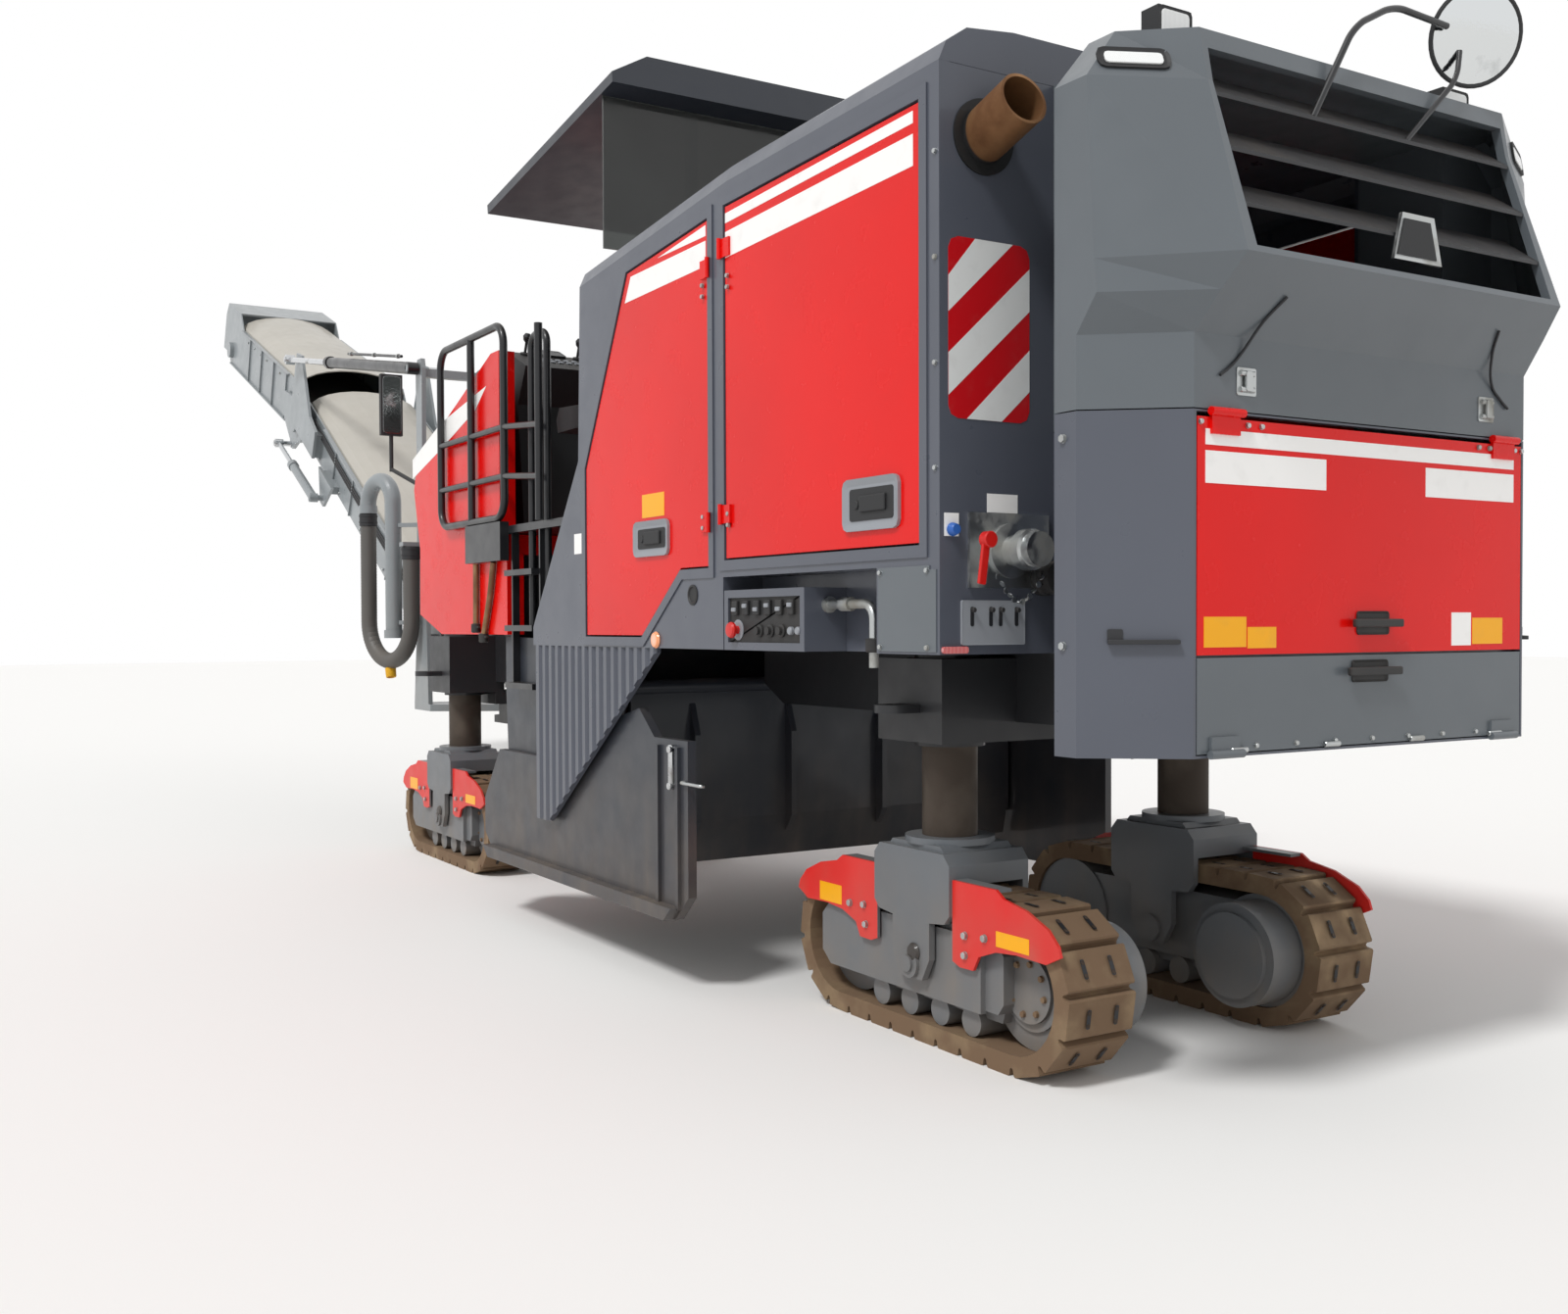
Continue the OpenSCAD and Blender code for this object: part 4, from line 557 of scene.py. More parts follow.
def dish(mesh, outline, depth, rim, sink, edge=2):
    """Adds a plate whose face is sunk inside a rim."""
    face = slab(mesh, outline, depth)
    top = list(face.verts)
    bmesh.ops.inset_region(mesh, faces=[face], thickness=rim / 1000, use_even_offset=True)
    bmesh.ops.translate(mesh, verts=list(face.verts), vec=-depth.normalized() * sink / 1000)
    round_edges(mesh, top, edge)


def tangents(normal):
    """The level and the rising direction in a skin that faces this way."""
    level = UP.cross(normal).normalized()
    return level, normal.cross(level).normalized()


def laid(place, normal, outline, lift=0.0):
    """Lays an outline of level and rising millimetres on a skin."""
    level, rise = tangents(normal)
    return [place + normal * lift / 1000 + level * a / 1000 + rise * b / 1000 for a, b in outline]


def between(side, a, b):
    """Two distances from the middle, on this side of it, the lower one first."""
    return sorted((side * a, side * b))


# Suction hose: two strands and the bend between them, at the places that the part's source gives
HOSE_D = 120
HOSE_FRONT, HOSE_REAR = Vector((8260, 850, 2419.7)), Vector((7690, 705, 2149.7))
HOSE_LOW = 1604.1
HOSE_BEND = (HOSE_FRONT - HOSE_REAR).to_2d().length / 2
RIB_PITCH = 11
RIB_RADII = (HOSE_D / 2 - 0.3, HOSE_D / 2 - 2.6)
CUFF_LEN = 95
SLEEVE_LEAN = Vector((-0.28, 0, -1))
HOSE_MIDDLE = Vector(((HOSE_FRONT.x + HOSE_REAR.x) / 2, (HOSE_FRONT.y + HOSE_REAR.y) / 2, HOSE_LOW))


def hose_route():
    """Points down the front strand, round the bend and up the rear strand."""
    half = ((HOSE_FRONT - HOSE_REAR) / 2).to_2d().to_3d()
    foot, heel = HOSE_MIDDLE + half, HOSE_MIDDLE - half
    route = [HOSE_FRONT.lerp(foot, i / 8) for i in range(8)]
    for i in range(21):
        turn = pi * i / 20
        route.append(HOSE_MIDDLE + half * cos(turn) - UP * HOSE_BEND * sin(turn))
    route += [heel.lerp(HOSE_REAR, i / 5) for i in range(1, 6)]
    return [at(*p) for p in route]


def stations(route, step):
    """Points and directions at even steps along a route."""
    out, carried = [], 0.0
    for a, b in zip(route, route[1:]):
        length = (b - a).length
        while carried <= length:
            out.append((a.lerp(b, carried / length), (b - a).normalized()))
            carried += step
        carried -= length
    out.append((route[-1], (route[-1] - route[-2]).normalized()))
    return out


def ring_at(mesh, place, way, r, sides):
    """Adds a ring square to a direction, and gives its edges."""
    turn = way.to_track_quat("Z", "Y").to_matrix().to_4x4()
    verts = bmesh.ops.create_circle(mesh, cap_ends=False, segments=sides, radius=r / 1000,
                                    matrix=Matrix.Translation(place) @ turn)["verts"]
    return list({e for v in verts for e in v.link_edges})


def make_hose():
    """Ribbed suction hose, hung between its two ends on the mast, with its cuffs and a yellow sleeve."""
    route = hose_route()
    mesh = bmesh.new()
    last = None
    way = -UP
    for i, (place, towards) in enumerate(stations(route, RIB_PITCH / 1000)):
        way = way.lerp(towards, 0.5).normalized()
        ring = ring_at(mesh, place, way, RIB_RADII[i % 2], 32)
        if last:
            bmesh.ops.bridge_loops(mesh, edges=last + ring)
        last = ring
    bmesh.ops.holes_fill(mesh, edges=[e for e in mesh.edges if e.is_boundary], sides=40)
    hose = keep("suction_hose", mesh, grey_rubber, "mast", smooth=True)
    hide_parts("extraction_hose")
    mesh = bmesh.new()
    for end in (HOSE_FRONT, HOSE_REAR):
        base = end - UP * CUFF_LEN
        turned(mesh, at(*base), UP, [(60.5, 0), (66, 4), (66, 90), (60.5, 94)], 40)
        for z in (25, 70):
            turned(mesh, at(*(base + UP * z)), UP, [(66, 0), (69, 1), (69, 11), (66, 12)], 40)
    cuffs = keep("hose_cuffs", mesh, black_rubber, "mast", smooth=True)
    mesh = bmesh.new()
    bottom = HOSE_MIDDLE - UP * (HOSE_BEND + HOSE_D / 2 - 8)
    turned(mesh, at(*bottom), SLEEVE_LEAN,
           [(0, 0), (36, 0), (40, 5), (38, 68), (35, 72), (28, 72), (28, 40), (0, 40)])
    sleeve = keep("hose_drain_sleeve", mesh, yellow_sleeve, "mast", smooth=True)


# Side doors: x and z of their stripes, latches and the blank label
DOOR_STRIPES = {
    "rear": [band(776, 2005, (3209, 3168), (3170, 3130)), band(776, 2005, (3136, 3096), (3034, 2996))],
    "front": [[(2165, 3160), (2590, 3117), (2165, 3117)],
              [(2165, 3098), (2850, 3090), (2910, 2985), (2165, 2998)]],
}
LATCHES = {"rear": (846, 1173, 1883, 2060), "front": (2490, 2819, 1862, 2015)}
DOOR_LABEL = oblong(2540, 2750, 2030, 2130)
HINGES = {"rear": 1978, "front": 2182}
HINGE_Z = (1978, 2900)
HINGE_Y = HALF_W + 6


def latch(rim, paddle, side, x0, x1, z0, z1):
    """A sunk door latch: a rimmed plate, and the paddle and lock inside it."""
    out = Vector((0, side / 1000, 0))
    dish(rim, [at(x, side * HALF_W, z) for x, z in oblong(x0, x1, z0, z1, 28)], out * 13, 24, 9)
    inner = oblong(x0 + 36, x1 - 36, z0 + 34, z1 - 34, 10)
    slab(paddle, [at(x, side * (HALF_W + 4), z) for x, z in inner], out * 3, 1)
    x, z = (x0 + x1) / 2, (z0 + z1) / 2
    near, far = between(side, HALF_W + 5, HALF_W + 16)
    block(paddle, (x - 90, near, z - 26), (x + 60, far, z + 30), 5)
    turned(paddle, at(x + 84, side * (HALF_W + 5), z), out, drum_of(15, 8))


def make_doors(word, side):
    """Side doors: white stripes, latches, hinge bolts and a blank label."""
    for end, outlines in DOOR_STRIPES.items():
        side_film(f"stripes_{word}_{end}", outlines, side, white_film, body=f"door_{word}_{end}")
    for end, box in LATCHES.items():
        rim, paddle = bmesh.new(), bmesh.new()
        latch(rim, paddle, side, *box)
        keep(f"latch_frame_{word}_{end}", rim, grey_plastic, f"door_{word}_{end}")
        keep(f"latch_paddle_{word}_{end}", paddle, black_plastic, f"door_{word}_{end}")
    side_film(f"label_{word}_door", [DOOR_LABEL], side, yellow_film, body=f"door_{word}_front")
    for end, x in HINGES.items():
        places = [at(x, side * HINGE_Y, z + dz) for z in HINGE_Z for dz in (-22, 22)]
        bolts(f"hinge_bolts_{word}_{end}", places, (0, side, 0), 16, f"door_{word}_{end}")


# Hood: y and z of the sticker on its rear-facing panel, then x and z of the fittings on its side
STICKER = oblong(884, 1215, 2218, 2790, 38)
STICKER_BANDS = (
    [(1215, 2664), (1108, 2790), (954, 2790), (1215, 2551)],
    [(1215, 2422), (884, 2719), (884, 2582), (1215, 2289)],
    [(1142, 2218), (884, 2456), (884, 2322), (1000, 2218)],
)
LAMP_BAR = oblong(1142, 1244, 1474, 1496, 8)
REFLECTOR = (2620, 1505)
PLUG = (2287, 1690)
COVER_PLATE = ((655, 1478), (973, 1478), (973, 1754), (690, 1754), (690, 1740), (655, 1740))
HOOD_LABEL = oblong(3385, 3480, 1905, 2000)


def make_hood(word, side):
    """Sticker, lamps, plug, cover plate and screws of one side of the hood."""
    out = Vector((0, side, 0))
    mirrored = [[(side * y, z) for y, z in shape] for shape in (STICKER, LAMP_BAR, *STICKER_BANDS)]
    back_film(f"sticker_ground_{word}", mirrored[:1], red_film, HOOD_REAR_X)
    back_film(f"sticker_bands_{word}", mirrored[2:], silver_film, HOOD_REAR_X - FILM_T, 0.6)
    back_film(f"side_lamp_{word}", mirrored[1:2], red_lens, HOOD_REAR_X, 10)
    mesh = bmesh.new()
    turned(mesh, at(REFLECTOR[0], side * HALF_W, REFLECTOR[1]), out,
           [(0, 0), (34, 0), (36, 4), (30, 13), (0, 15)])
    keep(f"side_reflector_{word}", mesh, amber_lens, smooth=True)
    mesh = bmesh.new()
    turned(mesh, at(PLUG[0], side * HALF_W, PLUG[1]), out, [(42, 0), (42, 4), (34, 6), (30, 1), (0, 1)])
    keep(f"hood_plug_{word}", mesh, black_plastic, smooth=True)
    mesh = bmesh.new()
    slab(mesh, [at(x, side * HALF_W, z) for x, z in COVER_PLATE], out * 0.004, 1)
    keep(f"hood_cover_plate_{word}", mesh, grey_enamel)
    places = [at(x, side * (HALF_W + 4), z) for x in (700, 958) for z in (1492, 1738)]
    places += [at(660, side * HALF_W, 3050 - i * 330) for i in range(4)]
    bolts(f"hood_screws_{word}", places, out, 15)
    side_film(f"label_{word}_hood", [HOOD_LABEL], side, white_film)


# Control box: its face, and x and z of what stands on it
PANEL_Y = 1242
PANEL = oblong(1450, 2004, 1484, 1690, 10)
ROCKERS = [1940 - i * 82 for i in range(6)]
KNOBS = [(x, 1545) for x in (1760, 1680, 1600)]
PUSH_KEYS = [(x, 1545) for x in (1530, 1478)]
STOP = (1925, 1548)


def make_control_box(word, side):
    """Side control box: the panel with its rockers, knobs, keys and stop button, all without lettering."""
    out = Vector((0, side, 0))
    y = side * PANEL_Y
    mesh = bmesh.new()
    dish(mesh, [at(x, y, z) for x, z in PANEL], out * 0.004, 16, 2, 1)
    keep(f"panel_ground_{word}", mesh, black_plastic)
    dark, light, red = bmesh.new(), bmesh.new(), bmesh.new()
    for i, x in enumerate(ROCKERS):
        near, far = between(side, PANEL_Y, PANEL_Y + 14)
        block(dark, (x - 20, near, 1604), (x + 20, far, 1660), 4)
        near, far = between(side, PANEL_Y, PANEL_Y + 20)
        low = 1618 + 14 * (i % 2)
        block(light, (x - 15, near, low), (x + 15, far, low + 16), 3)
    for x, z in KNOBS:
        turned(dark, at(x, y, z), out, [(0, 0), (24, 0), (24, 8), (16, 12), (16, 24), (0, 24)], 20)
    for x, z in PUSH_KEYS:
        turned(light, at(x, y, z), out, [(0, 0), (15, 0), (15, 14), (12, 18), (0, 18)], 20)
    stop = at(STOP[0], y, STOP[1])
    turned(light, stop, out, [(0, 0), (40, 0), (40, 5), (30, 6), (0, 6)], 28)
    turned(red, stop, out, [(0, 5), (16, 5), (16, 24), (30, 28), (31, 38), (26, 46), (0, 48)], 28)
    keep(f"panel_switches_{word}", dark, black_plastic)
    keep(f"panel_keys_{word}", light, grey_plastic)
    keep(f"panel_stop_{word}", red, red_plastic, smooth=True)


# Filling coupling on the hood's rear-facing panel: y and z of what surrounds it
COUPLING_LABEL = oblong(934, 1060, 1925, 1985)
SWITCH_PLATE = oblong(1176, 1232, 1845, 1918)
SWITCH_KNOB = (1204, 1866)
LEVER = (1150, 1830)
LEVER_LEAN = radians(8)
CHAIN_FROM, CHAIN_SPAN, CHAIN_SAG = (1090, 1728), 200, 92
CHAIN_LINKS = 12
CHAIN_X = 560
CAP = (830, 1716)
VALVE_PLATE = oblong(910, 1168, 1500, 1643, 6)
VALVE_SLOTS = (1128, 1052, 1012, 946)
TAP_VALVE = (1145, 1150, 1520)


def make_coupling():
    """Fittings of the filling coupling on the left: label, switch, lever, cap, a plate with four slots and a
    tap valve.
    """
    back_film("label_coupling", [COUPLING_LABEL], white_film, HOOD_REAR_X)
    back_film("switch_plate", [SWITCH_PLATE], white_film, HOOD_REAR_X, 3)
    mesh = bmesh.new()
    turned(mesh, at(HOOD_REAR_X - 3, *SWITCH_KNOB), BEHIND,
           [(0, 0), (20, 0), (22, 5), (17, 24), (15, 26), (0, 26)])
    keep("switch_knob", mesh, blue_plastic, smooth=True)
    y, z = LEVER
    mesh = bmesh.new()
    block(mesh, (520, y, z - 140), (532, y + 30, z), 4, Matrix.Rotation(LEVER_LEAN, 3, "X"))
    turned(mesh, at(540, y, z), BEHIND, drum_of(26, 34, 3))
    keep("coupling_lever", mesh, red_plastic)
    y, z = CAP
    mesh = bmesh.new()
    turned(mesh, at(HOOD_REAR_X, y, z), BEHIND,
           [(0, 0), (58, 0), (58, 26), (50, 32), (50, 60), (56, 64), (56, 92), (40, 98), (0, 98)], 28)
    block(mesh, (575, y - 60, z - 26), (600, y + 60, z + 24), 4)
    keep("coupling_cap", mesh, black_plastic, smooth=True)
    mesh = bmesh.new()
    dish(mesh, [at(HOOD_REAR_X, y, z) for y, z in VALVE_PLATE], BEHIND * 0.01, 6, 1, 1)
    keep("valve_plate", mesh, grey_plastic)
    mesh, knobs = bmesh.new(), bmesh.new()
    for y in VALVE_SLOTS:
        # The dark film in each slot is painted shade for its depth.
        slab(mesh, [at(HOOD_REAR_X - 9, y + a, z) for a, z in oblong(-7, 7, 1560, 1622, 5)], BEHIND * 0.0015)
        turned(knobs, at(HOOD_REAR_X - 9, y, 1612), BEHIND, drum_of(8, 16))
    keep("valve_plate_slot_shade", mesh, black_film_and_slot_shade)
    keep("valve_plate_knobs", knobs, black_plastic)
    x, y, z = TAP_VALVE
    mesh = bmesh.new()
    turned(mesh, at(x, y, z), -UP, [(17.5, 0), (30, 4), (30, 44), (24, 50), (17.5, 50)], 24)
    block(mesh, (x - 65, y - 10, z - 32), (x + 5, y + 10, z - 18), 5)
    keep("tap_valve", mesh, black_plastic)


def make_chain():
    """The cap's chain: flat links that hang in an arc, every other one turned."""
    y, z = CHAIN_FROM
    shares = [i / CHAIN_LINKS for i in range(CHAIN_LINKS + 1)]
    arc = [at(CHAIN_X, y - CHAIN_SPAN * s, z - CHAIN_SAG * sin(pi * s)) for s in shares]
    mesh = bmesh.new()
    for i, (a, b) in enumerate(zip(arc, arc[1:])):
        square = (b - a).cross(AHEAD if i % 2 else UP).normalized()
        ring = ring_at(mesh, a.lerp(b, 0.5), square, 10, 10)
        bmesh.ops.solidify(mesh, geom=bmesh.ops.edgeloop_fill(mesh, edges=ring)["faces"], thickness=0.004)
    keep("coupling_chain", mesh, zinc_steel)


# Rear unit: y and z of its stripes, labels and handles
REAR_STRIPES = [
    band(-749, 759, (2141, 2141), (2094, 2094)),
    band(225, 759, (2077, 2077), (1981, 1981)),
    band(-749, -268, (2077, 2077), (1981, 1981)),
]
REAR_LABELS = [oblong(584, 764, 1495, 1586), oblong(452, 578, 1491, 1555), oblong(-690, -522, 1493, 1582)]
REAR_WHITE_LABEL = oblong(-514, -409, 1489, 1600)
HANDLES = {"rear_door": (-118, 118, 1536, 1596), "rear_flap": (-114, 141, 1385, 1440)}
DOOR_HINGE_BOLTS = (520, 580, 720, 780, -550, -610, -750, -790)
FLAP_BOLT_Z = 1196
FLAP_HINGE_Z = 1186
FLAP_HINGES = (-640, -220, 200, 620)
HOOD_LATCH = (588, 2290)
STRAP = ((518, 2538), (560, 2470), (617, 2369), (660, 2330), (704, 2301))
MARKER = (-18, 3154)
BRACKET = ((-60, 1515), (-60, 1540))
UNIT_BOLTS = (270, (1500, 2120))
BADGE = (-53, 2773)
BADGE_OUTLINE = [(-118, -74), (118, -74), (78, 74), (-78, 74)]
BADGE_GROUND = [(a * 0.82, b * 0.78) for a, b in BADGE_OUTLINE]
WORK_LAMP = (190, 690, 3390)
FAR_BEHIND = -900


def make_rear_door():
    """Rear door and flap: stripes, blank labels, handles, hinges and bolts."""
    back_film("stripes_rear_door", REAR_STRIPES, white_film, body="rear_door")
    back_film("labels_rear_door", REAR_LABELS, yellow_film, body="rear_door")
    back_film("label_rear_door_white", [REAR_WHITE_LABEL], white_film, body="rear_door")
    for body, (y0, y1, z0, z1) in HANDLES.items():
        z = (z0 + z1) / 2
        mesh = bmesh.new()
        recess = oblong(y0 + 40, y1 - 40, z0 - 8, z1 + 8, 10)
        dish(mesh, [at(0, a, b) for a, b in recess], BEHIND * 0.006, 8, 4, 1)
        block(mesh, (-34, y0, z - 13), (-16, y1, z + 13), 5)
        for y in (y0 + 56, y1 - 56):
            block(mesh, (-20, y - 12, z - 11), (-1, y + 12, z + 11), 3)
        keep(f"{body}_handle", mesh, black_plastic, body)
    bolts("door_hinge_bolts", [at(0, y, 2160) for y in DOOR_HINGE_BOLTS], BEHIND, 15, "rear_door")
    bolts("flap_edge_bolts", [at(0, y, FLAP_BOLT_Z) for y in range(-720, 721, 180)], BEHIND, 14, "rear_flap")
    hinges = bmesh.new()
    for y in FLAP_HINGES:
        turned(hinges, at(-6, y - 35, FLAP_HINGE_Z), (0, 1, 0), drum_of(9, 70, 2), 14)
    keep("flap_edge_hinges", hinges, zinc_steel, "rear_flap")


def make_rear_side(word, side):
    """One side of the rear unit: latch and strap on the hood, marker lamp, bracket and bolts."""
    y, z = HOOD_LATCH
    place, normal = surface("rear_hood", at(FAR_BEHIND, side * y, z), AHEAD)
    level, rise = tangents(normal)
    mesh = bmesh.new()
    slab(mesh, laid(place, normal, oblong(-42, 42, -42, 42, 6)), normal * 0.004, 1)
    for b in (-24, 24):
        pin = place + rise * b / 1000 - level * 0.03 + normal * 0.006
        turned(mesh, pin, level, drum_of(9, 60, 2), 14)
    slab(mesh, laid(place, normal, oblong(-14, 14, -30, 30, 4), 10), normal * 0.008, 2)
    keep(f"hood_latch_{word}", mesh, zinc_steel)
    strap = []
    for y, z in STRAP:
        place, normal = surface("rear_hood", at(FAR_BEHIND, side * y, z), AHEAD)
        strap.append(place + normal * 0.006)
    pipes(f"hood_strap_{word}", [strap], 9, black_rubber)
    eye = at(CAMERA_AT[0], side * CAMERA_AT[1], CAMERA_AT[2])
    place, normal = surface("rear_hood", eye, at(MARKER[0], side * UNIT_Y, MARKER[1]) - eye)
    mesh = bmesh.new()
    dish(mesh, laid(place, normal, oblong(-112, 112, -40, 40, 24)), normal * 0.008, 11, 5, 2)
    keep(f"marker_recess_{word}", mesh, black_plastic)
    mesh = bmesh.new()
    slab(mesh, laid(place, normal, oblong(-90, 90, -22, 22, 12), 3.5), normal * 0.005, 2)
    keep(f"marker_lens_{word}", mesh, clear_lens)
    mesh = bmesh.new()
    arm, foot = [surface("rear_housing", eye, at(x, side * UNIT_Y, z) - eye) for x, z in BRACKET]
    slab(mesh, laid(*arm, oblong(-105, 105, -7, 7, 4)), arm[1] * 0.026, 2)
    slab(mesh, laid(*foot, oblong(-105, -60, -26, 12, 4)), foot[1] * 0.006, 1)
    keep(f"side_bracket_{word}", mesh, frame_enamel)
    x, heights = UNIT_BOLTS
    bolts(f"unit_bolts_{word}", [at(x, side * UNIT_Y, z) for z in heights], (0, side, 0), 22)


def make_badge():
    """Blank badge on the lowest blade of the air outlet."""
    place, _ = surface("outlet_blades", at(FAR_BEHIND, *BADGE), AHEAD)
    mesh = bmesh.new()
    rim = [place + Vector((-0.004, a / 1000, b / 1000)) for a, b in BADGE_OUTLINE]
    dish(mesh, rim, BEHIND * 0.012, 14, 5, 1)
    keep("badge_rim", mesh, zinc_steel)
    mesh = bmesh.new()
    ground = [place + Vector((-0.0115, a / 1000, b / 1000)) for a, b in BADGE_GROUND]
    slab(mesh, ground, BEHIND * 0.002)
    keep("badge_ground", mesh, black_plastic)


# Round mirror: its middle, the way it faces, and its two tubes
ROUND_MIRROR = at(0, -530, 3540)
ROUND_MIRROR_FACING = Vector((-0.86, 0.42, -0.28)).normalized()
MIRROR_TUBE = [at(20, 269, 3139), at(10, 85, 3456), at(10, -107, 3557),
               ROUND_MIRROR + Vector((0.03, 0.12, 0.02))]
MIRROR_STAY = [at(20, -185, 3139), at(12, -440, 3384), ROUND_MIRROR + Vector((0.03, 0.05, -0.05))]


def make_round_mirror():
    """Convex mirror behind the air outlet, on two bent tubes."""
    back = ROUND_MIRROR - ROUND_MIRROR_FACING * 0.02
    mesh = bmesh.new()
    turned(mesh, back, ROUND_MIRROR_FACING,
           [(0, -34), (60, -30), (130, -8), (163, 6), (165, 14), (158, 18), (150, 14), (0, 14)], 40)
    keep("round_mirror_shell", mesh, black_plastic, smooth=True)
    mesh = bmesh.new()
    turned(mesh, back, ROUND_MIRROR_FACING,
           [(0, 30), (70, 27), (130, 19), (150, 14.5), (150, 13), (0, 13)], 40)
    keep("round_mirror_face", mesh, mirror_glass, smooth=True)
    pipes("round_mirror_tube", [MIRROR_TUBE], 22, black_enamel, 60)
    pipes("round_mirror_stay", [MIRROR_STAY], 18, black_enamel, 50)


def make_work_lamp(word, side):
    """Lens and rim of a work lamp, on the side that faces backwards."""
    x, y, z = WORK_LAMP
    lens_at = [at(x, side * y + a, z + b) for a, b in oblong(-58, 58, -46, 46, 12)]
    rim_at = [at(x, side * y + a, z + b) for a, b in oblong(-70, 70, -56, 56, 14)]
    mesh, ring = bmesh.new(), bmesh.new()
    slab(mesh, lens_at, BEHIND * 0.005, 2)
    keep(f"lamp_lens_{word}", mesh, clear_lens)
    dish(ring, rim_at, BEHIND * 0.004, 11, 3, 1)
    keep(f"lamp_rim_{word}", ring, black_plastic)


# Conveyor: along-flight places of hoses and bolts, and the pipe on each ram
RAM_Y = 682
RAM_PIPE = (260, 1000, 1700)
RAM_CLAMPS = (330, 950, 1600)
RAM_PIPE_LIFT = 0.082
FLIGHT_HOSES = ((500, 60), (1600, 60), (2900, 62), (3900, 96))
FLIGHT_HOSE_Y = 531
UPPER_SIDE_V = 240


def make_conveyor(word, side):
    """One side of the conveyor: pipe on the ram, hoses along the lower flight, bolts on both covers."""
    out = (0, side, 0)
    low, high = at(LIFT_X, side * RAM_Y, 3450), lower(4450, side * RAM_Y, 520)
    way = (high - low).normalized()
    over = Vector((-way.z, 0, way.x)) * RAM_PIPE_LIFT
    run = [low + way * reach / 1000 + over for reach in RAM_PIPE]
    pipes(f"ram_pipe_{word}", [run], 22, black_enamel, body="lift_barrels")
    clamps = bmesh.new()
    for reach in RAM_CLAMPS:
        turned(clamps, low + way * reach / 1000 + over, way, [(11, 0), (17, 0), (17, 26), (11, 26)], 16)
    keep(f"ram_pipe_clamps_{word}", clamps, zinc_steel, "lift_barrels")
    routes = [[lower(u, side * FLIGHT_HOSE_Y, v + dv) for u, v in FLIGHT_HOSES] for dv in (0, 26, 52)]
    pipes(f"flight_hoses_{word}", routes, 17, black_rubber, body="lower_flight")
    places = [lower(u, side * 521, -120) for u in range(300, 4000, 370)]
    bolts(f"lower_flight_bolts_{word}", places, out, 20, "lower_flight")
    places = [surface("upper_flight", upper(u, side * 1500, UPPER_SIDE_V), (0, -side, 0))[0]
              for u in range(450, 2800, 300)]
    bolts(f"upper_flight_bolts_{word}", places, out, 20, "upper_flight")


# Front: x and z of the tank's stripe and drain pipes, the mirror faces and the deck's tread
TANK_Y = 1195
TANK_STRIPE = [(6090, 2484), (5555, 2614), (4967, 2772), (4790, 2884), (5551, 2768), (6090, 2602)]
DRAIN_Y = 1214
DRAIN_PIPES = (((4922, 1912), (4926, 1700), (4930, 1561)), ((4652, 1912), (4700, 1740), (4809, 1507)))
MIRROR_FACE = (6430, 1220, 2985)
DECK_Z = 2100
DECK_X, DECK_Y = (3440, 4540), (-1150, 1160)
TREAD_PITCH = 52
TREAD_BAR = [(-15, -4), (15, -4), (15, 4), (-15, 4)]


def make_front(word, side):
    """One side of the front: stripe on the tank, drain pipes with valves, and the mirror's face."""
    side_film(f"tank_stripe_{word}", [TANK_STRIPE], side, white_film, TANK_Y)
    y = side * DRAIN_Y
    routes = [[at(x, y, z) for x, z in route] for route in DRAIN_PIPES]
    pipes(f"drain_pipes_{word}", routes, 34, pipe_steel, 40)
    mesh = bmesh.new()
    for *_, (x, z) in DRAIN_PIPES:
        turned(mesh, at(x, y, z + 20), -UP, [(17, 0), (27, 4), (27, 46), (20, 52), (0, 52)], 20)
        block(mesh, (x - 50, y - 8, z - 6), (x + 10, y + 8, z + 6), 3)
    keep(f"drain_valves_{word}", mesh, black_plastic)
    mesh = bmesh.new()
    x, y, z = MIRROR_FACE
    face = [at(x, side * y + a, z + b) for a, b in oblong(-58, 58, -182, 182, 20)]
    slab(mesh, face, BEHIND * 0.004, 1)
    keep(f"mirror_face_{word}", mesh, mirror_glass)


def make_tread():
    """Raised bars on the deck, crosswise in turn, where the ray from above meets the deck itself."""
    mesh = bmesh.new()
    for row, x in enumerate(range(*DECK_X, TREAD_PITCH)):
        for y in range(DECK_Y[0] + TREAD_PITCH // 2 * (row % 2), DECK_Y[1], TREAD_PITCH):
            place, normal = surface("platform", at(x, y, DECK_Z + 100), -UP)
            if not place or normal.z < 0.9 or abs(place.z - DECK_Z / 1000) > 0.004:
                continue
            turn = (row + y // TREAD_PITCH) % 2
            bar = [(a, b) if turn else (b, a) for a, b in TREAD_BAR]
            slab(mesh, [place + Vector((a / 1000, b / 1000, 0)) for a, b in bar], UP * 0.002)
    keep("deck_tread", mesh, black_enamel)


# Console tops, measured from where a ray from above meets them
CONSOLE = (4920, 750)
SCREEN = oblong(-90, 90, 10, 130, 10)
KEY = (15, 13)
LEVER_SHAPE = [(0, 0), (26, 0), (26, 10), (8, 16), (8, 70), (20, 84), (24, 106), (14, 122), (0, 124)]


def make_console(word, side):
    """Top of a control console: a dark screen, two levers and two rows of keys."""
    place, normal = surface("consoles", at(CONSOLE[0], side * CONSOLE[1], 3600), -UP)
    level, rise = tangents(normal)
    screen, keys, levers = bmesh.new(), bmesh.new(), bmesh.new()
    dish(screen, laid(place, normal, SCREEN), normal * 0.014, 10, 3, 1)
    for a in range(-140, 111, 50):
        for b in (-60, -106):
            key = oblong(a - KEY[0], a + KEY[0], b - KEY[1], b + KEY[1], 4)
            slab(keys, laid(place, normal, key), normal * 0.007, 1)
    for a in (-160, 160):
        turned(levers, place + level * a / 1000 + rise * 0.02, normal, LEVER_SHAPE, 20)
    keep(f"console_screen_{word}", screen, black_film_and_slot_shade)
    keep(f"console_keys_{word}", keys, grey_plastic)
    keep(f"console_levers_{word}", levers, black_plastic, smooth=True)


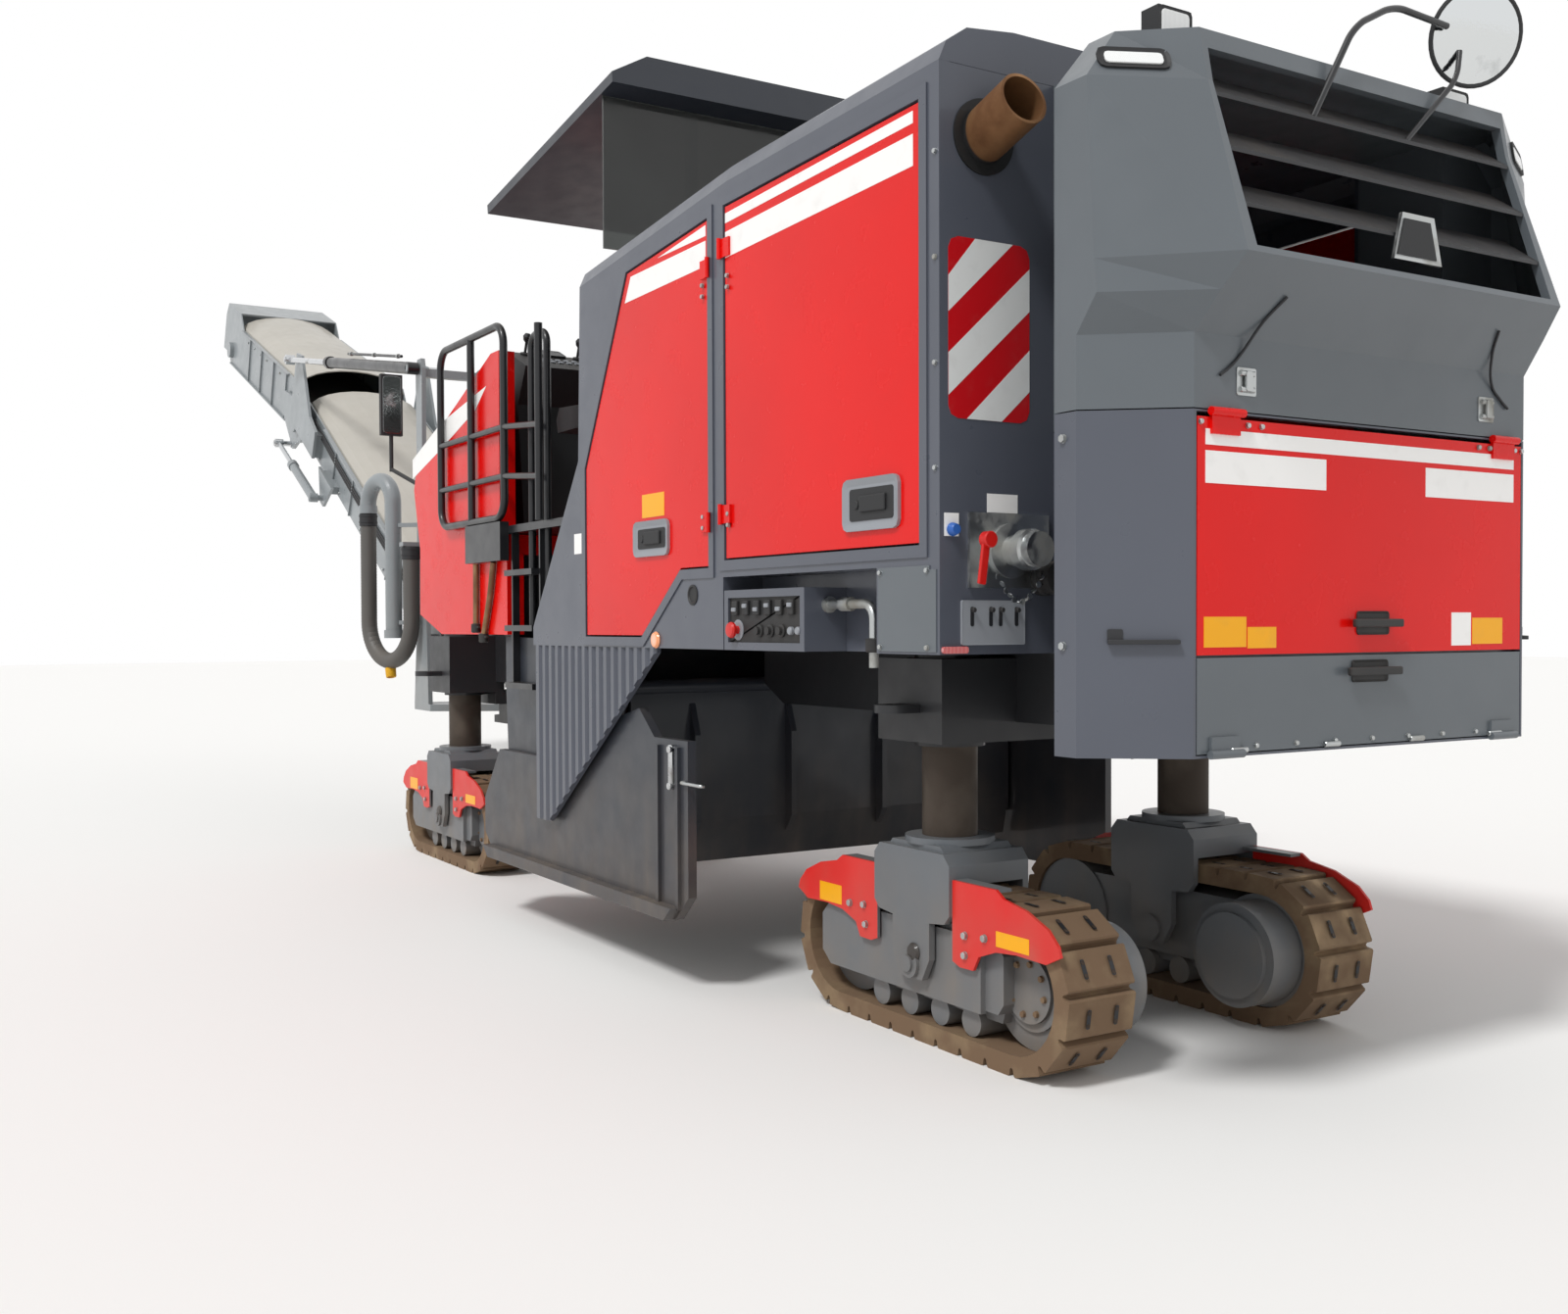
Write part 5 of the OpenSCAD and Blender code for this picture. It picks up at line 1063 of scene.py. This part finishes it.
# Track outline, as in the part's source
TRACK_R = (track_high.z - track_low.z) / 2 * 1000
END_X = 537
PITCH_R = TRACK_R - 42
SHOES = 26
UNDERSIDE = -0.7


def on_track(s):
    """Place and facing on the pads' outer face at a share of the way round, from the lower run's rear end."""
    run, turn = 2 * END_X, pi * PITCH_R
    half = 1 if s < 0.5 else -1
    t = s % 0.5 * 2 * (run + turn)
    a = max(t - run, 0) / PITCH_R
    nx, nz = half * sin(a), -half * cos(a)
    return half * (min(t, run) - END_X) + TRACK_R * nx, TRACK_R + TRACK_R * nz, nx, nz


# Track guards: x and z of the labels and bolts on the rear track's guard, which the front track's repeat
GUARD_Y = 172
GUARD_LABELS = [oblong(748, 922, 446, 500), oblong(1890, 2050, 440, 516)]
GUARD_BOLTS = ((1827, 459), (1730, 467), (1717, 391), (1094, 454), (984, 463), (1094, 383))
HUB_Y, HUB_RING, HUB_BOLTS, HUB_START = 78, 0.092, 8, 0.2
PIVOT = (-24, 186, 344)
SLOT_X = (-62, 62)
PAD_SLOT = oblong(-34, 34, -9, 9, 6)
PAD_BOLT = [(0, 0), (8, 0), (8, 2), (0, 2)]


def make_track(end, word, side):
    """One track unit: labels and bolts on its guard, hub bolts, pivot pin, and the pads' bolt slots, whose
    dark film is painted shade.
    """
    x, y = TRACKS[end]
    body = f"{end}_{word}_track_unit"
    out = Vector((0, side, 0))
    dx = x - REAR_TRACK_X
    guard = y + GUARD_Y
    labels = [[(a + dx, b) for a, b in label] for label in GUARD_LABELS]
    side_film(f"guard_labels_{end}_{word}", labels, side, yellow_film, guard, body)
    places = [at(dx + a, side * guard, b) for a, b in GUARD_BOLTS]
    bolts(f"guard_bolts_{end}_{word}", places, out, 24, body)
    hub = at(x - END_X, side * (y + HUB_Y), TRACK_R)
    angles = [i * tau / HUB_BOLTS + HUB_START for i in range(HUB_BOLTS)]
    places = [hub + Vector((cos(a), 0, sin(a))) * HUB_RING for a in angles]
    bolts(f"hub_bolts_{end}_{word}", places, out, 20, body, chain_steel)
    mesh = bmesh.new()
    pin = at(x + PIVOT[0], side * (y + PIVOT[1]), PIVOT[2])
    turned(mesh, pin, out, [(0, 0), (34, 0), (36, 4), (28, 14), (0, 16)], 24)
    keep(f"pivot_pin_{end}_{word}", mesh, frame_enamel, body, smooth=True)
    slots, heads = bmesh.new(), bmesh.new()
    for i in range(SHOES):
        px, pz, nx, nz = on_track((i + 0.5) / SHOES)
        if nz < UNDERSIDE:
            continue
        normal, way = Vector((nx, 0, nz)), Vector((nz, 0, -nx))
        for a in SLOT_X:
            spot = at(x + px, side * y + a, pz)
            # Dark film in each bolt slot is painted shade for the recess.
            slab(slots, [spot + way * u / 1000 + out * v / 1000 for u, v in PAD_SLOT], normal * 0.0008)
            for u in (-22, 22):
                turned(heads, spot + way * u / 1000, normal, PAD_BOLT, 8)
    keep(f"pad_slot_shade_{end}_{word}", slots, black_film_and_slot_shade, body)
    keep(f"pad_bolts_{end}_{word}", heads, link_steel, body)


# Side plates: x and z of the sight rod and of the handle's two feet
ROD_X, ROD_Y, ROD_Z, ROD_LEN = 2560, 1214, 884, 176
ROD_RINGS = (884, 1040)
PLATE_Y = 1198
HANDLE_X, HANDLE_Z = (2470, 2300), 905


def make_side_plate(word, side):
    """Sight rod and handle on one side plate of the drum housing."""
    body = f"side_plate_{word}"
    y = side * ROD_Y
    mesh = bmesh.new()
    turned(mesh, at(ROD_X, y, ROD_Z), UP, drum_of(14, ROD_LEN, 3), 20)
    for z in ROD_RINGS:
        turned(mesh, at(ROD_X, side * (PLATE_Y - 2), z), (0, side, 0), drum_of(17, 34, 3), 16)
    keep(f"sight_rod_{word}", mesh, rod_chrome, body)
    first, last = HANDLE_X
    corners = ((first, side * PLATE_Y), (first, y), (last, y), (last, side * PLATE_Y))
    pipes(f"plate_handle_{word}", [[at(a, b, HANDLE_Z) for a, b in corners]], 16, zinc_steel, 12, body)


for make in (make_hose, make_coupling, make_chain, make_rear_door, make_badge, make_round_mirror, make_tread):
    make()
for word, side in SIDES:
    for make in (make_doors, make_hood, make_control_box, make_rear_side, make_work_lamp, make_conveyor,
                 make_front, make_console, make_side_plate):
        make(word, side)
    for end in TRACKS:
        make_track(end, word, side)

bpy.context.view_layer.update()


# Stage
FLOOR_HALF = 60
FLOOR_COLOUR, SKY_COLOUR = "#efeeec", "#ffffff"
FILL, SHOWN = 0.6, 1.0
SUN_ENERGY, SUN_SOFTNESS = 2.0, radians(12)
SUN_TURN = (radians(38), 0, radians(-160))


def make_stage():
    """Plain pale floor, white surround and one soft sun."""
    mesh = bmesh.new()
    bmesh.ops.create_grid(mesh, x_segments=1, y_segments=1, size=FLOOR_HALF)
    data = bpy.data.meshes.new("floor")
    mesh.to_mesh(data)
    mesh.free()
    floor = placed("floor", data)
    material, tree, bsdf, _ = start("pale_floor", Roughness=0.9)
    bsdf["Base Color"].default_value = linear(FLOOR_COLOUR)
    data.materials.append(material)
    world = bpy.data.worlds.new("studio")
    bpy.context.scene.world = world
    world.use_nodes = True
    tree = world.node_tree
    tree.nodes.clear()
    path = tree.nodes.new("ShaderNodeLightPath").outputs
    seen = add(tree, "Math", path["Is Camera Ray"], path["Is Glossy Ray"], operation="MAXIMUM")
    seen = add(tree, "Math", seen, path["Is Transmission Ray"], operation="MAXIMUM")
    plain = add(tree, "Background", linear(SKY_COLOUR), FILL)
    white = add(tree, "Background", linear(SKY_COLOUR), SHOWN)
    add(tree, "OutputWorld", add(tree, "MixShader", seen, plain, white))
    key = bpy.data.lights.new("key_light", "SUN")
    key.energy = SUN_ENERGY
    key.angle = SUN_SOFTNESS
    placed("key_light", key).rotation_euler = SUN_TURN


make_stage()
bpy.context.scene.view_settings.view_transform = "Standard"
